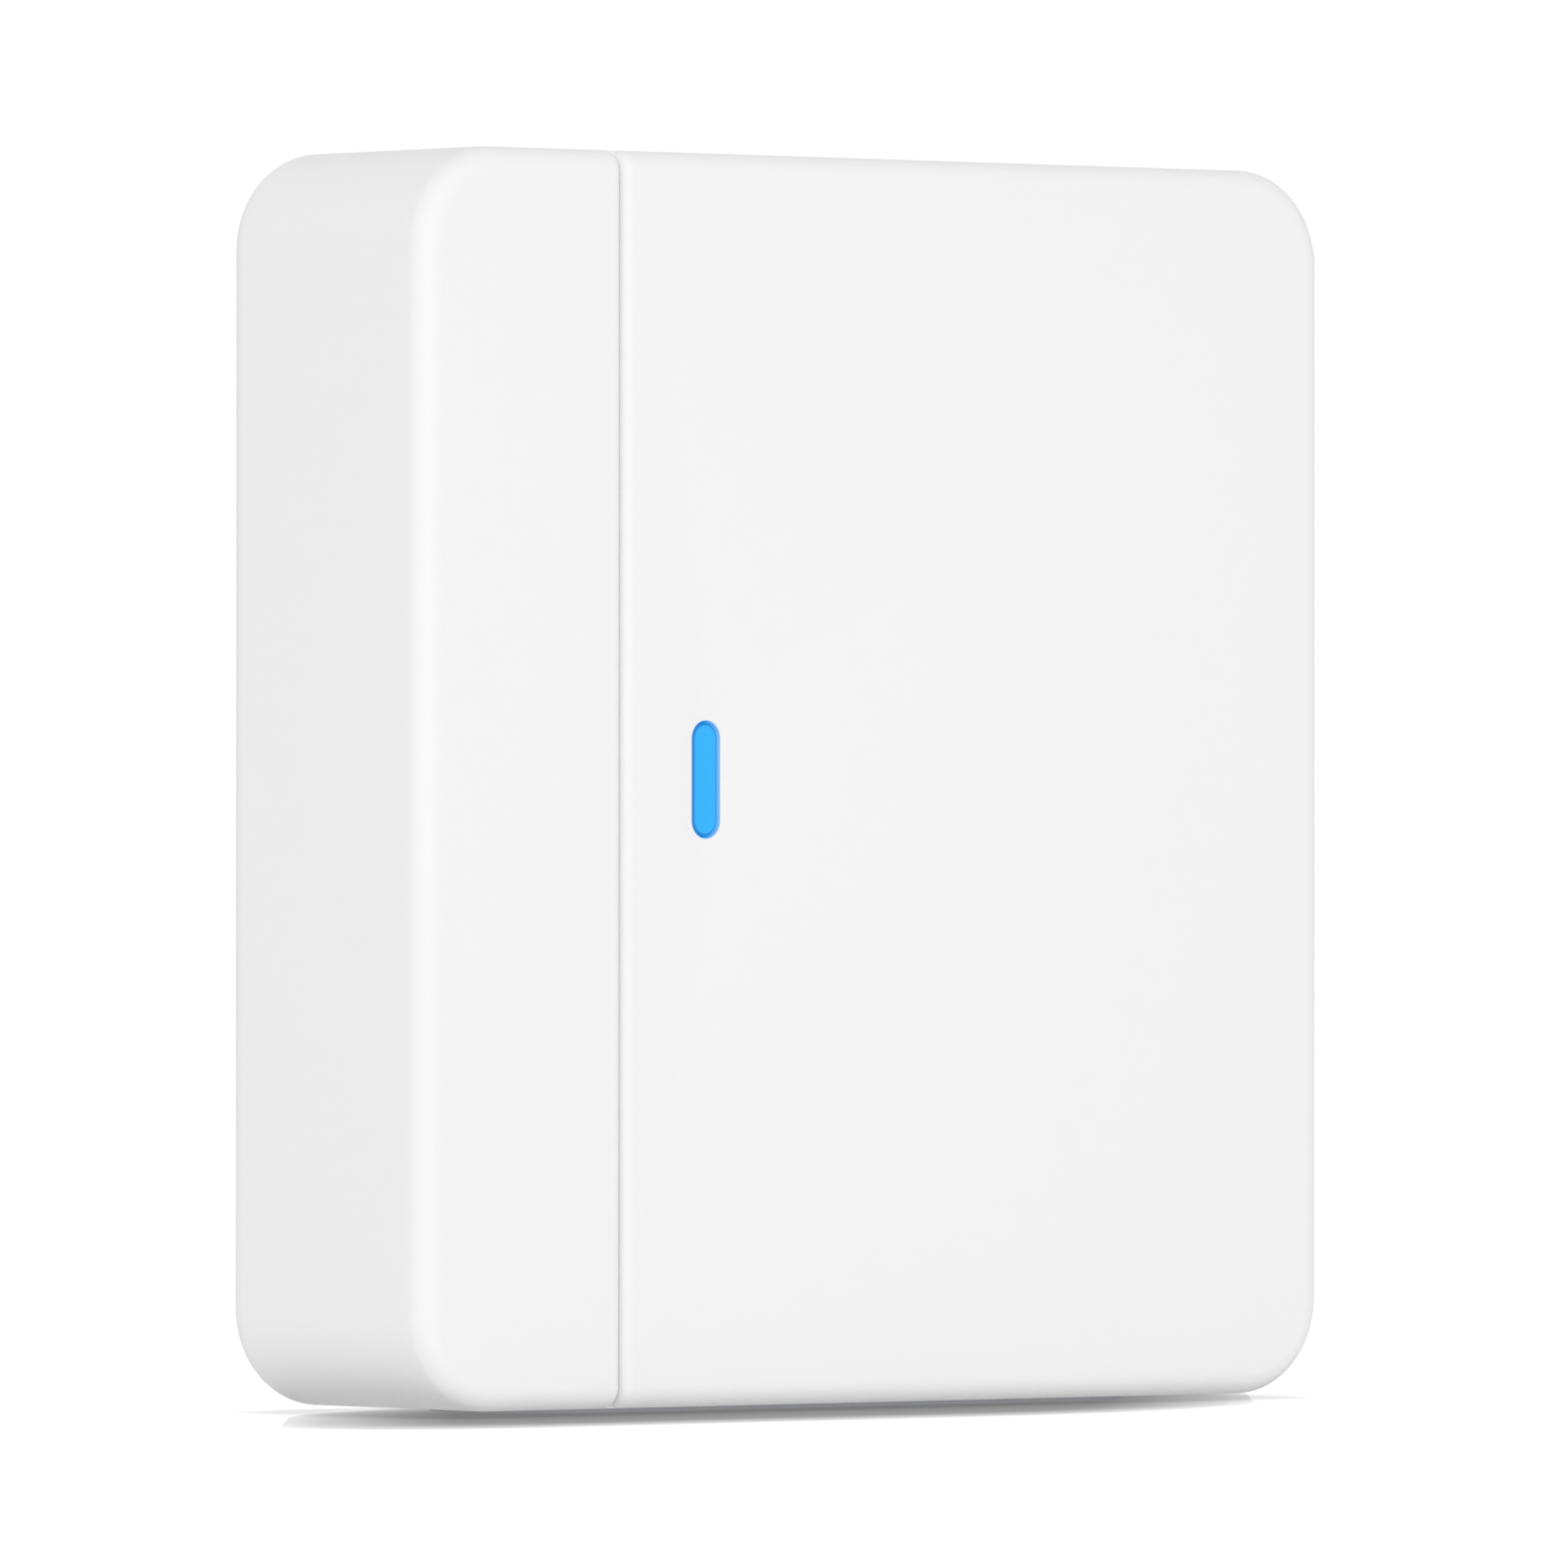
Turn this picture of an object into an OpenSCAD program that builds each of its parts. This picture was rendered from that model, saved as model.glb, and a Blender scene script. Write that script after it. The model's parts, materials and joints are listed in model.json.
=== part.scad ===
// Upright smart home hub: a white case with a grooved front, a pill-shaped status light,
// ports on the back and the electronics inside. The front looks along -Y, +X is to the hub's
// right as seen from the front, and the origin is under the middle of the foot pad.

/* [Case] */
// Width across the front
body_w = 173; // [168:1:190]
// Height of the case without the foot pad
body_h = 184; // [178:1:200]
// Depth from front to back
body_d = 47.4; // [46:0.1:60]
// Radius of the four corners of the front outline
corner_r = 14.4; // [13:0.2:18]
// Radius of the edge round the front face
front_edge_r = 3.3; // [2.8:0.1:3.4]
// Radius of the edge round the back
back_edge_r = 5; // [4:0.5:6.5]
// Wall thickness of the mouldings
wall = 2.4; // [2:0.1:2.8]
// Depth of the two front covers
cover_d = 3.6; // [3.5:0.1:4.5]

/* [Groove between the front covers] */
// Distance of the groove from the hub's left side
groove_from_left = 37.6; // [30:0.2:42]
// Width of the slot at the bottom of the groove
groove_w = 0.5; // [0.3:0.1:1]
// Depth of the groove
groove_depth = 2.1; // [1.9:0.1:2.4]
// Radius of the groove's rounded shoulders
groove_r = 1.7; // [1:0.1:1.8]

/* [Status light] */
// Distance of the light's middle from the hub's left side
light_from_left = 53; // [48:0.2:70]
// Width of the light's window
light_w = 5.3; // [4.8:0.1:7]
// Height of the light's window
light_h = 17.3; // [10:0.1:24]
// Gap round the light pipe in its window
light_gap = 0.35; // [0.2:0.05:0.5]
// How far the light pipe's end sits behind the front face
light_recess = 0.4; // [0.2:0.1:1]

/* [Back] */
// Width of the rim round the rear cover
rear_rim = 7.5; // [7:0.1:9]
// How far the rear cover sits inside the rim
rear_recess = 0.6; // [0.4:0.1:1]
// Height of the row of ports above the bottom of the case
port_height = 30; // [28:1:36]
// Distance between neighbouring ports
port_pitch = 27; // [25:0.5:30]
// Number of vent slots in each row
vent_count = 19; // [9:2:21]
// Height of a vent slot
vent_h = 24; // [12:1:28]

/* [Pair button] */
// Radius of the button
button_r = 4; // [3.5:0.1:5]
// How far the button travels when pressed
button_travel = 0.5; // [0.3:0.1:0.6]

/* [Circuit board] */
// Width of the board
board_w = 132; // [120:1:134]
// Height of the board
board_h = 124; // [116:1:126]
// Thickness of the board
board_t = 1.6; // [1.2:0.2:2]
// Distance of the board's back face from the back of the hub
board_level = 20; // [18:0.5:22]

/* [Foot pad] */
// Length of the foot pad
foot_l = 124; // [100:1:140]
// Width of the foot pad
foot_w = 30; // [24:1:32]
// How far the foot pad stands out
foot_proud = 0.8; // [0.6:0.1:1.2]

/* [Hidden] */
$fn = 64;

// Levels are distances from the back of the hub towards the front. Inside upright(), x is the
// hub's x, y is the height above the middle of the case, and z is the level.
cut = 1;
// Solids of one piece reach this far into each other where they join.
join = 0.1;
cover_level = body_d - cover_d;
bulkhead_t = 2.2;
bulkhead_level = cover_level - bulkhead_t;
cover_plate_t = 2.2;
rear_plate_t = 2.4;
rear_inner_level = rear_recess + rear_plate_t;
cavity_level = 5;
shelf_level = 2.6;
shelf_inset = 4.8;
rear_gap = 0.25;

groove_x = groove_from_left - body_w / 2;
groove_shoulder = groove_w / 2 + groove_r;
// The shoulder arcs stand a hair above the face, so that the groove meets it at an edge.
shoulder_lift = 0.03;

light_x = light_from_left - body_w / 2;
light_r = light_w / 2;
light_straight = light_h - light_w;
flange_level = body_d - cover_plate_t;
flange_t = 1.2;
flange_lip = 1.4;
stem_r = 2;
stem_clear = 0.6;
shroud_gap = 0.2;
shroud_wall = 0.8;
led_t = 1;
led_w = 2;
led_pitch = 4.5;
board_front_level = board_level + board_t;

port_y = port_height - body_h / 2;
ethernet_x = -port_pitch;
power_x = port_pitch;
port_bay_depth = 0.8;
port_bay_side = 15;
port_bay_w = 2 * (port_pitch + port_bay_side);
port_bay_h = 22;
port_bay_corner = port_bay_h / 2 - 1;
port_clear = 0.3;

ethernet_w = 16.2;
ethernet_h = 13.6;
ethernet_level = 2.2;
ethernet_shell_t = 0.3;
plug_w = 11.9;
plug_h = 7.4;
plug_depth = 12.5;
plug_rise = 0.9;
latch_w = 6.2;
latch_h = 2.4;
insert_sink = 0.2;
link_x = 5.9;
link_rise = 1.4;
link_window = [3, 2.2, 2];
link_led = [2.8, 2];
contact_count = 8;
contact_pitch = 1.02;

jack_w = 9.4;
jack_nose_r = 4.3;
jack_bore_r = 3.1;
jack_bore_depth = 9.5;
jack_level = 2.2;
jack_base_level = 7;
jack_pin_r = 1.05;
jack_pin_inset = 1;

button_fit = 0.05;
button_proud = 0.5;
button_level = rear_recess - button_proud;
button_collar_lip = 1.4;
button_collar_r = button_r + button_collar_lip;
button_collar_t = 1;
button_stem_r = 1.5;
button_boss_wall = 1.6;
button_boss_level = 6;
switch_w = 6;
switch_level = 16.4;
plunger_r = 1.75;
plunger_level = 15;
plunger_fit = 0.05;
plunger_seat = 1.4;
plunger_reserve = 0.3;
plunger_pocket = plunger_seat + button_travel + plunger_reserve;
press_gap = 0.05;

case_post_inset = 14.4;
case_post_r = 4.4;
case_screw_r = 1.2;
case_screw_fit = 0.05;
case_head_r = 2.6;
case_head_t = 1;
case_hole_l = 12;
case_screw_l = 10;
case_sink_level = 1.9;
drive_r = 0.95;
drive_depth = 0.6;

board_y = -14;
board_corner_r = 3;
board_post_r = 3.2;
board_screw_r = 1.15;
board_screw_fit = 0.05;
board_head_r = 2.4;
board_head_t = 1.6;
board_hole_l = 6;
board_screw_l = 5;
board_screw_play = 0.2;
board_screw_inset = 6;
board_screw_x = board_w / 2 - board_screw_inset;
board_screw_y = board_h / 2 - board_screw_inset;

peg_r = 1.5;
peg_fit = 0.05;
peg_l = 1.8;
peg_inset = 9;
peg_corner_shift = 3;

vent_w = 2.2;
vent_pitch = 6;
vent_rows = [58, -25];
label_w = 70;
label_h = 30;
label_y = 17;
label_t = 0.15;
label_corner = 2;

foot_sink = 1;
foot_corner = foot_w / 2 - 1;
pad_fit = 0.1;

white = [0.95, 0.95, 0.96];
clear_blue = [0.24, 0.7, 1];
rubber_grey = [0.35, 0.36, 0.38];
black_plastic = [0.08, 0.08, 0.09];
board_green = [0.06, 0.3, 0.16];
steel = [0.75, 0.76, 0.78];
gold = [0.85, 0.68, 0.3];
lamp_yellow = [0.95, 0.85, 0.45];

// ---- Helpers ----

module upright() {
    translate([0, body_d / 2, foot_proud + body_h / 2])
        rotate([90, 0, 0])
            children();
}

module at_level(level) {
    translate([0, 0, level])
        children();
}

module rounded_rect(w, h, r) {
    square([w - 2 * r, h], center = true);
    square([w, h - 2 * r], center = true);
    for (x = [-1, 1], y = [-1, 1])
        translate([x * (w / 2 - r), y * (h / 2 - r)])
            circle(r);
}

module rounded_plate(w, h, r, from, to) {
    at_level(from)
        linear_extrude(to - from)
            rounded_rect(w, h, r);
}

module inset_plate(inset, from, to) {
    rounded_plate(body_w - 2 * inset, body_h - 2 * inset, corner_r - inset, from, to);
}

module block(w, h, from, to) {
    translate([-w / 2, -h / 2, from])
        cube([w, h, to - from]);
}

module rod(r, from, to) {
    at_level(from)
        cylinder(r = r, h = to - from);
}

module pill(r, straight, from, to) {
    for (side = [-1, 1])
        translate([0, side * straight / 2])
            rod(r, from, to);
    block(2 * r, straight, from, to);
}

module four(x, y) {
    for (i = [-1, 1], j = [-1, 1])
        translate([i * x, j * y])
            children();
}

// Outline across an edge of the case: x runs outwards to reach, y is the depth.
module edge_corner(r) {
    difference() {
        translate([-r, -cut])
            square([r + cut, r + cut]);
        translate([-r, r])
            circle(r);
    }
}

module edge_outline(reach, depth, low_r, high_r) {
    difference() {
        square([reach, depth]);
        if (low_r > 0)
            translate([reach, 0])
                edge_corner(low_r);
        if (high_r > 0)
            translate([reach, depth])
                mirror([0, 1])
                    edge_corner(high_r);
    }
}

// A rounded plate whose rim has a radius at its low face and at its high face.
module soft_slab(w, h, depth, r, low_r, high_r) {
    flat_w = w - 2 * r;
    flat_h = h - 2 * r;
    block(flat_w, flat_h, 0, depth);
    for (turn = [0, 1, 2, 3]) {
        across = turn % 2 == 0 ? flat_w : flat_h;
        along = turn % 2 == 0 ? flat_h : flat_w;
        rotate(90 * turn) {
            translate([across / 2, along / 2, 0])
                rotate([90, 0, 0])
                    linear_extrude(along)
                        edge_outline(r, depth, low_r, high_r);
            translate([across / 2, along / 2, 0])
                rotate_extrude(angle = 90)
                    edge_outline(r, depth, low_r, high_r);
        }
    }
}

// Outline across the groove: x is the height above the face, y runs across the groove.
module groove_outline() {
    difference() {
        translate([shoulder_lift - groove_r, -groove_shoulder])
            square([groove_r + cut, 2 * groove_shoulder]);
        for (side = [-1, 1])
            translate([shoulder_lift - groove_r, side * groove_shoulder])
                circle(groove_r);
    }
    translate([-groove_depth, -groove_w / 2])
        square([groove_depth + cut, groove_w]);
}

module groove_turn() {
    translate([groove_x, body_h / 2 - front_edge_r, body_d - front_edge_r])
        rotate([0, -90, 0])
            rotate_extrude(angle = 90)
                translate([front_edge_r, 0])
                    groove_outline();
}

module groove() {
    straight = body_h - 2 * front_edge_r;
    translate([groove_x, -straight / 2, body_d])
        rotate([0, -90, -90])
            linear_extrude(straight)
                groove_outline();
    groove_turn();
    mirror([0, 1, 0])
        groove_turn();
}

// ---- Case ----

module cover_slab() {
    difference() {
        at_level(cover_level)
            soft_slab(body_w, body_h, cover_d, corner_r, 0, front_edge_r);
        groove();
    }
}

module cover_side(from_x, to_x) {
    translate([from_x, -body_h, 0])
        cube([to_x - from_x, 2 * body_h, 2 * body_d]);
}

module cover_pocket(from_x, to_x) {
    inner_h = body_h - 2 * corner_r;
    translate([from_x, -inner_h / 2, cover_level - cut])
        cube([to_x - from_x, inner_h, cover_d - cover_plate_t + cut]);
}

module cover_pegs(from_x, to_x) {
    for (x = [from_x, to_x], y = [-1, 1])
        translate([x, y * (body_h / 2 - peg_inset)])
            rod(peg_r, cover_level - peg_l, cover_level);
}

strip_peg_x = [-body_w / 2 + peg_inset + peg_corner_shift, groove_x - peg_inset];
panel_peg_x = [groove_x + peg_inset, body_w / 2 - peg_inset - peg_corner_shift];

module front_panel() {
    color(white)
        upright() {
            difference() {
                intersection() {
                    cover_slab();
                    cover_side(groove_x, body_w);
                }
                cover_pocket(groove_x + wall, body_w / 2 - front_edge_r - wall);
                translate([light_x, 0])
                    pill(light_r, light_straight, cover_level, body_d + cut);
            }
            cover_pegs(panel_peg_x[0], panel_peg_x[1]);
        }
}

module side_strip() {
    color(white)
        upright() {
            difference() {
                intersection() {
                    cover_slab();
                    cover_side(-body_w, groove_x);
                }
                cover_pocket(-body_w / 2 + front_edge_r + wall, groove_x - wall);
            }
            cover_pegs(strip_peg_x[0], strip_peg_x[1]);
        }
}

module case_posts() {
    four(body_w / 2 - case_post_inset, body_h / 2 - case_post_inset)
        difference() {
            rod(case_post_r, rear_inner_level, bulkhead_level + cut / 2);
            rod(case_screw_r + case_screw_fit, rear_inner_level - cut, rear_inner_level + case_hole_l);
        }
}

module board_posts() {
    translate([0, board_y])
        four(board_screw_x, board_screw_y)
            difference() {
                rod(board_post_r, board_front_level, bulkhead_level + cut / 2);
                rod(board_screw_r + board_screw_fit, board_front_level - cut,
                    board_front_level + board_hole_l);
            }
}

module peg_holes() {
    for (x = concat(strip_peg_x, panel_peg_x), y = [-1, 1])
        translate([x, y * (body_h / 2 - peg_inset)])
            rod(peg_r + peg_fit, bulkhead_level - cut, cover_level + cut);
}

module foot_outline(clearance) {
    rounded_rect(foot_l + 2 * clearance, foot_w + 2 * clearance, foot_corner + clearance);
}

module housing() {
    color(white)
        difference() {
            upright() {
                difference() {
                    soft_slab(body_w, body_h, cover_level, corner_r, back_edge_r, 0);
                    inset_plate(wall, cavity_level, bulkhead_level);
                    inset_plate(shelf_inset, shelf_level, cavity_level + cut);
                    inset_plate(rear_rim, -cut, shelf_level + cut);
                    peg_holes();
                    translate([light_x, 0])
                        pill(stem_r + shroud_gap + shroud_wall + pad_fit, light_straight,
                            bulkhead_level - cut, cover_level + cut);
                }
                case_posts();
                board_posts();
            }
            translate([0, 0, -cut])
                linear_extrude(foot_proud + foot_sink + cut)
                    foot_outline(pad_fit);
        }
}

module foot_pad() {
    color(rubber_grey)
        linear_extrude(foot_proud + foot_sink)
            foot_outline(0);
}

module vent_row(y) {
    for (i = [0 : vent_count - 1])
        translate([(i - (vent_count - 1) / 2) * vent_pitch, y])
            pill(vent_w / 2, vent_h - vent_w, rear_recess - cut, rear_inner_level + cut);
}

module port_holes() {
    translate([ethernet_x, port_y])
        block(ethernet_w + 2 * port_clear, ethernet_h + 2 * port_clear, 0, rear_inner_level + cut);
    translate([power_x, port_y])
        rod(jack_nose_r + port_clear, 0, rear_inner_level + cut);
    translate([0, port_y])
        rod(button_r + button_fit, 0, button_boss_level + cut);
}

module rear_cover() {
    edge = rear_rim + rear_gap;
    color(white)
        upright()
            difference() {
                union() {
                    inset_plate(edge, rear_recess, rear_inner_level);
                    translate([0, port_y])
                        rod(button_r + button_boss_wall, rear_inner_level - cut / 2, button_boss_level);
                }
                translate([0, port_y])
                    rounded_plate(port_bay_w, port_bay_h, port_bay_corner,
                        rear_recess - cut, rear_recess + port_bay_depth);
                port_holes();
                for (y = vent_rows)
                    vent_row(y);
                four(body_w / 2 - case_post_inset, body_h / 2 - case_post_inset) {
                    rod(case_head_r + port_clear, rear_recess - cut, case_sink_level);
                    rod(case_screw_r + port_clear, rear_recess, rear_inner_level + cut);
                }
            }
}

module screw(shaft_r, shaft_end, head_r, head_from, head_to) {
    difference() {
        union() {
            rod(head_r, head_from, head_to);
            rod(shaft_r, head_to - drive_depth / 2, shaft_end);
        }
        translate([0, 0, head_from - cut])
            cylinder(r = drive_r, h = drive_depth + cut, $fn = 6);
    }
}

module case_screws() {
    color(steel)
        upright()
            four(body_w / 2 - case_post_inset, body_h / 2 - case_post_inset)
                screw(case_screw_r, rear_inner_level + case_screw_l, case_head_r,
                    case_sink_level - case_head_t, case_sink_level);
}

module rating_label() {
    color([0.9, 0.9, 0.9])
        upright()
            translate([0, label_y])
                rounded_plate(label_w, label_h, label_corner, rear_recess - label_t, rear_recess);
}

// ---- Status light ----

module light_pipe() {
    color(clear_blue)
        upright()
            translate([light_x, 0]) {
                pill(light_r - light_gap, light_straight, flange_level - join, body_d - light_recess);
                pill(light_r + flange_lip, light_straight, flange_level - flange_t, flange_level);
                pill(stem_r, light_straight - stem_clear, board_front_level + led_t + stem_clear,
                    flange_level - flange_t + join);
            }
}

module light_shroud() {
    inner = stem_r + shroud_gap;
    color(black_plastic)
        upright()
            translate([light_x, 0])
                difference() {
                    pill(inner + shroud_wall, light_straight, board_front_level,
                        flange_level - flange_t);
                    pill(inner, light_straight, board_front_level - cut,
                        flange_level - flange_t + cut);
                }
}

module status_leds() {
    color(lamp_yellow)
        upright()
            translate([light_x, 0])
                for (i = [-1, 0, 1])
                    translate([0, i * led_pitch])
                        block(led_w, led_w, board_front_level, board_front_level + led_t);
}

// ---- Circuit board and what it carries ----

module main_board() {
    color(board_green)
        upright()
            translate([0, board_y])
                difference() {
                    rounded_plate(board_w, board_h, board_corner_r, board_level, board_front_level);
                    four(board_screw_x, board_screw_y)
                        rod(board_screw_r + board_screw_play, board_level - cut, board_front_level + cut);
                }
}

module board_screws() {
    color(steel)
        upright()
            translate([0, board_y])
                four(board_screw_x, board_screw_y)
                    screw(board_screw_r, board_front_level + board_screw_l, board_head_r,
                        board_level - board_head_t, board_level);
}

// Flat parts on the back face of the board: place [x, y] and size [width, height, thickness].
module on_board(at, size) {
    upright()
        translate(at)
            block(size[0], size[1], board_level - size[2], board_level);
}

processor_at = [-12, 6];
processor_size = [17, 17, 1.2];
pad_w = 16;
pad_t = 0.5;
sink_w = 34;
sink_base_t = 2;
sink_fin_t = 1.4;
sink_fin_h = 6;
sink_fins = 7;
memory_at = [18, 10];
memory_size = [9, 13, 1.1];
flash_at = [18, -8];
flash_size = [12, 9, 1.1];
converter_at = [48, -44];
converter_size = [5, 5, 0.9];
inductors_at = [[48, -34], [48, -24]];
inductor_size = [7, 7, 4];
capacitors_at = [[56, -56], [56, -44], [56, -32]];
capacitor_r = 3.1;
capacitor_h = 9;
crystals_at = [[34, 12], [-34, -14], [-26, 30]];
crystal_size = [3.2, 2.5, 0.8];
can_t = 0.3;
can_h = 2.4;

module processor() {
    color(black_plastic)
        on_board(processor_at, processor_size);
}

module thermal_pad() {
    top = board_level - processor_size[2];
    color([0.6, 0.65, 0.75])
        upright()
            translate(processor_at)
                block(pad_w, pad_w, top - pad_t, top);
}

module heat_sink() {
    top = board_level - processor_size[2] - pad_t;
    pitch = (sink_w - sink_fin_t) / (sink_fins - 1);
    color(steel)
        upright()
            translate(processor_at) {
                block(sink_w, sink_w, top - sink_base_t, top);
                for (i = [0 : sink_fins - 1])
                    translate([-sink_w / 2 + sink_fin_t / 2 + i * pitch, 0])
                        block(sink_fin_t, sink_w, top - sink_base_t - sink_fin_h,
                            top - sink_base_t + join);
            }
}

module memory_chip() {
    color(black_plastic)
        on_board(memory_at, memory_size);
}

module flash_chip() {
    color(black_plastic)
        on_board(flash_at, flash_size);
}

module power_converter() {
    color(black_plastic)
        on_board(converter_at, converter_size);
}

module power_inductors() {
    color([0.25, 0.25, 0.26])
        for (at = inductors_at)
            on_board(at, inductor_size);
}

module capacitors() {
    color([0.2, 0.22, 0.3])
        upright()
            for (at = capacitors_at)
                translate(at)
                    rod(capacitor_r, board_level - capacitor_h, board_level);
}

module crystals() {
    color(steel)
        for (at = crystals_at)
            on_board(at, crystal_size);
}

module radio_can(at, w, h) {
    color(steel)
        upright()
            translate(at)
                difference() {
                    block(w, h, board_level - can_h, board_level);
                    block(w - 2 * can_t, h - 2 * can_t, board_level - can_h + can_t, board_level + cut);
                }
}

module wifi_can() {
    radio_can([40, 34], 28, 20);
}

module mesh_radio_can() {
    radio_can([12, 36], 20, 16);
}

module sub_ghz_can() {
    radio_can([-46, 36], 22, 16);
}

// Small boards soldered flat on the top edge of the main board, which stand above it.
module wifi_antennas() {
    antenna_x = 44;
    antenna_size = [12, 34, 0.8];
    seat = 3;
    antenna_y = board_y + board_h / 2 - seat + antenna_size[1] / 2;
    color(board_green)
        for (side = [-1, 1])
            on_board([side * antenna_x, antenna_y], antenna_size);
}

module mesh_antenna() {
    leg_l = 8;
    leg_w = 2;
    leg_pitch = 12;
    bar_l = 26;
    bar_t = 0.6;
    bar_overhang = 2;
    first_leg_x = 6;
    top_inset = 3;
    color(gold)
        upright()
            translate([first_leg_x, board_y + board_h / 2 - top_inset]) {
                for (x = [0, leg_pitch])
                    translate([x, 0])
                        block(leg_w, leg_w, board_level - leg_l, board_level);
                translate([(bar_l - leg_w) / 2 - bar_overhang, 0])
                    block(bar_l, leg_w, board_level - leg_l, board_level - leg_l + bar_t);
            }
}

module sub_ghz_antenna() {
    whip_r = 0.7;
    whip_l = 92;
    whip_x = -72;
    whip_lift = 4;
    feed_y = 4;
    feed_l = 10;
    color(gold)
        upright()
            translate([whip_x, -whip_l / 2, board_level - whip_lift]) {
                rotate([-90, 0, 0])
                    cylinder(r = whip_r, h = whip_l);
                translate([0, feed_y, 0])
                    rotate([0, 90, 0])
                        cylinder(r = whip_r, h = feed_l);
                translate([feed_l, feed_y, 0])
                    cylinder(r = whip_r, h = whip_lift);
            }
}

module line_transformer() {
    transformer_at = [ethernet_x - 18, port_y + 2];
    transformer_size = [10, 14, 5];
    color(black_plastic)
        on_board(transformer_at, transformer_size);
}

// ---- Ports ----

module at_ethernet() {
    upright()
        translate([ethernet_x, port_y])
            children();
}

module ethernet_shell() {
    t = ethernet_shell_t;
    color(steel)
        at_ethernet()
            difference() {
                block(ethernet_w, ethernet_h, ethernet_level, board_level);
                block(ethernet_w - 2 * t, ethernet_h - 2 * t, ethernet_level - cut, board_level + cut);
            }
}

module ethernet_insert() {
    w = ethernet_w - 2 * ethernet_shell_t;
    h = ethernet_h - 2 * ethernet_shell_t;
    mouth = ethernet_level + insert_sink;
    color(black_plastic)
        at_ethernet()
            difference() {
                block(w, h, mouth, board_level);
                translate([0, plug_rise])
                    block(plug_w, plug_h, mouth - cut, mouth + plug_depth);
                translate([0, plug_rise - (plug_h + latch_h - join) / 2])
                    block(latch_w, latch_h + join, mouth - cut, mouth + plug_depth);
                for (side = [-1, 1])
                    translate([side * link_x, link_rise - h / 2])
                        block(link_window[0], link_window[1], mouth - cut, mouth + link_window[2]);
            }
}

module ethernet_contacts() {
    wire_w = 0.4;
    wire_t = 0.35;
    wire_inset = 2.5;
    reach = ethernet_level + insert_sink + plug_depth;
    color(gold)
        at_ethernet()
            for (i = [0 : contact_count - 1])
                translate([(i - (contact_count - 1) / 2) * contact_pitch,
                    plug_rise + plug_h / 2 - wire_t / 2])
                    block(wire_w, wire_t, ethernet_level + wire_inset, reach);
}

module link_leds() {
    h = ethernet_h - 2 * ethernet_shell_t;
    color(lamp_yellow)
        at_ethernet()
            for (side = [-1, 1])
                translate([side * link_x, link_rise - h / 2])
                    block(link_led[0], link_led[1], ethernet_level + 2 * insert_sink,
                        ethernet_level + insert_sink + link_window[2]);
}

module power_jack() {
    color(black_plastic)
        upright()
            translate([power_x, port_y])
                difference() {
                    union() {
                        block(jack_w, jack_w, jack_base_level, board_level);
                        rod(jack_nose_r, jack_level, jack_base_level + cut);
                    }
                    rod(jack_bore_r, jack_level - cut, jack_level + jack_bore_depth);
                }
}

module power_pin() {
    color(steel)
        upright()
            translate([power_x, port_y])
                rod(jack_pin_r, jack_level + jack_pin_inset, jack_level + jack_bore_depth);
}

// ---- Pair button and its switch ----

module pair_button() {
    collar_level = button_boss_level + press_gap;
    color(white)
        upright()
            translate([0, port_y]) {
                rod(button_r, button_level, collar_level + button_collar_t / 2);
                rod(button_collar_r, collar_level, collar_level + button_collar_t);
                rod(button_stem_r, collar_level + button_collar_t / 2, plunger_level - press_gap);
            }
}

module switch_body() {
    color(black_plastic)
        upright()
            translate([0, port_y])
                difference() {
                    block(switch_w, switch_w, switch_level, board_level);
                    rod(plunger_r + plunger_fit, switch_level - cut, switch_level + plunger_pocket);
                }
}

module switch_plunger() {
    color([0.8, 0.25, 0.2])
        upright()
            translate([0, port_y])
                rod(plunger_r, plunger_level, switch_level + plunger_seat);
}

front_panel();
side_strip();
housing();
rear_cover();
case_screws();
rating_label();
foot_pad();
light_pipe();
light_shroud();
status_leds();
main_board();
board_screws();
processor();
thermal_pad();
heat_sink();
memory_chip();
flash_chip();
power_converter();
power_inductors();
capacitors();
crystals();
wifi_can();
mesh_radio_can();
sub_ghz_can();
wifi_antennas();
mesh_antenna();
sub_ghz_antenna();
ethernet_shell();
ethernet_insert();
ethernet_contacts();
link_leds();
line_transformer();
power_jack();
power_pin();
pair_button();
switch_body();
switch_plunger();
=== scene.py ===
import json
import math

import bmesh
import bpy
from mathutils import Matrix, Vector


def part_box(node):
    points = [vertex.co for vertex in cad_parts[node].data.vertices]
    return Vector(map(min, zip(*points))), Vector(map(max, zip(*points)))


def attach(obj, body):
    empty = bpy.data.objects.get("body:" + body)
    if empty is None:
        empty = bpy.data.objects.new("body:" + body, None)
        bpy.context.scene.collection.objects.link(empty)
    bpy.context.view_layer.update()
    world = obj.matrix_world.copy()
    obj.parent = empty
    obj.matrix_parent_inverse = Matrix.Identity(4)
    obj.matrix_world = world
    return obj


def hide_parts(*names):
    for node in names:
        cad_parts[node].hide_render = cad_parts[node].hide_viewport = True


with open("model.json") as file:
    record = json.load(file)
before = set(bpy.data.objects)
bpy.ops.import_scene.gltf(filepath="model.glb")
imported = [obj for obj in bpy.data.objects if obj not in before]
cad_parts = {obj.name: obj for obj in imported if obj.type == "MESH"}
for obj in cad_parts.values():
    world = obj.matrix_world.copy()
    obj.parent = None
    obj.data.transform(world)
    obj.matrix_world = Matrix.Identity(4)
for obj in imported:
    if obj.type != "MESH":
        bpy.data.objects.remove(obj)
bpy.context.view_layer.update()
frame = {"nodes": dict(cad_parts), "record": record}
print("smart home hub: frame loaded")

# Everything is modelled in millimetres and brought to metres when a piece is finished.
mm = 0.001

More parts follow.
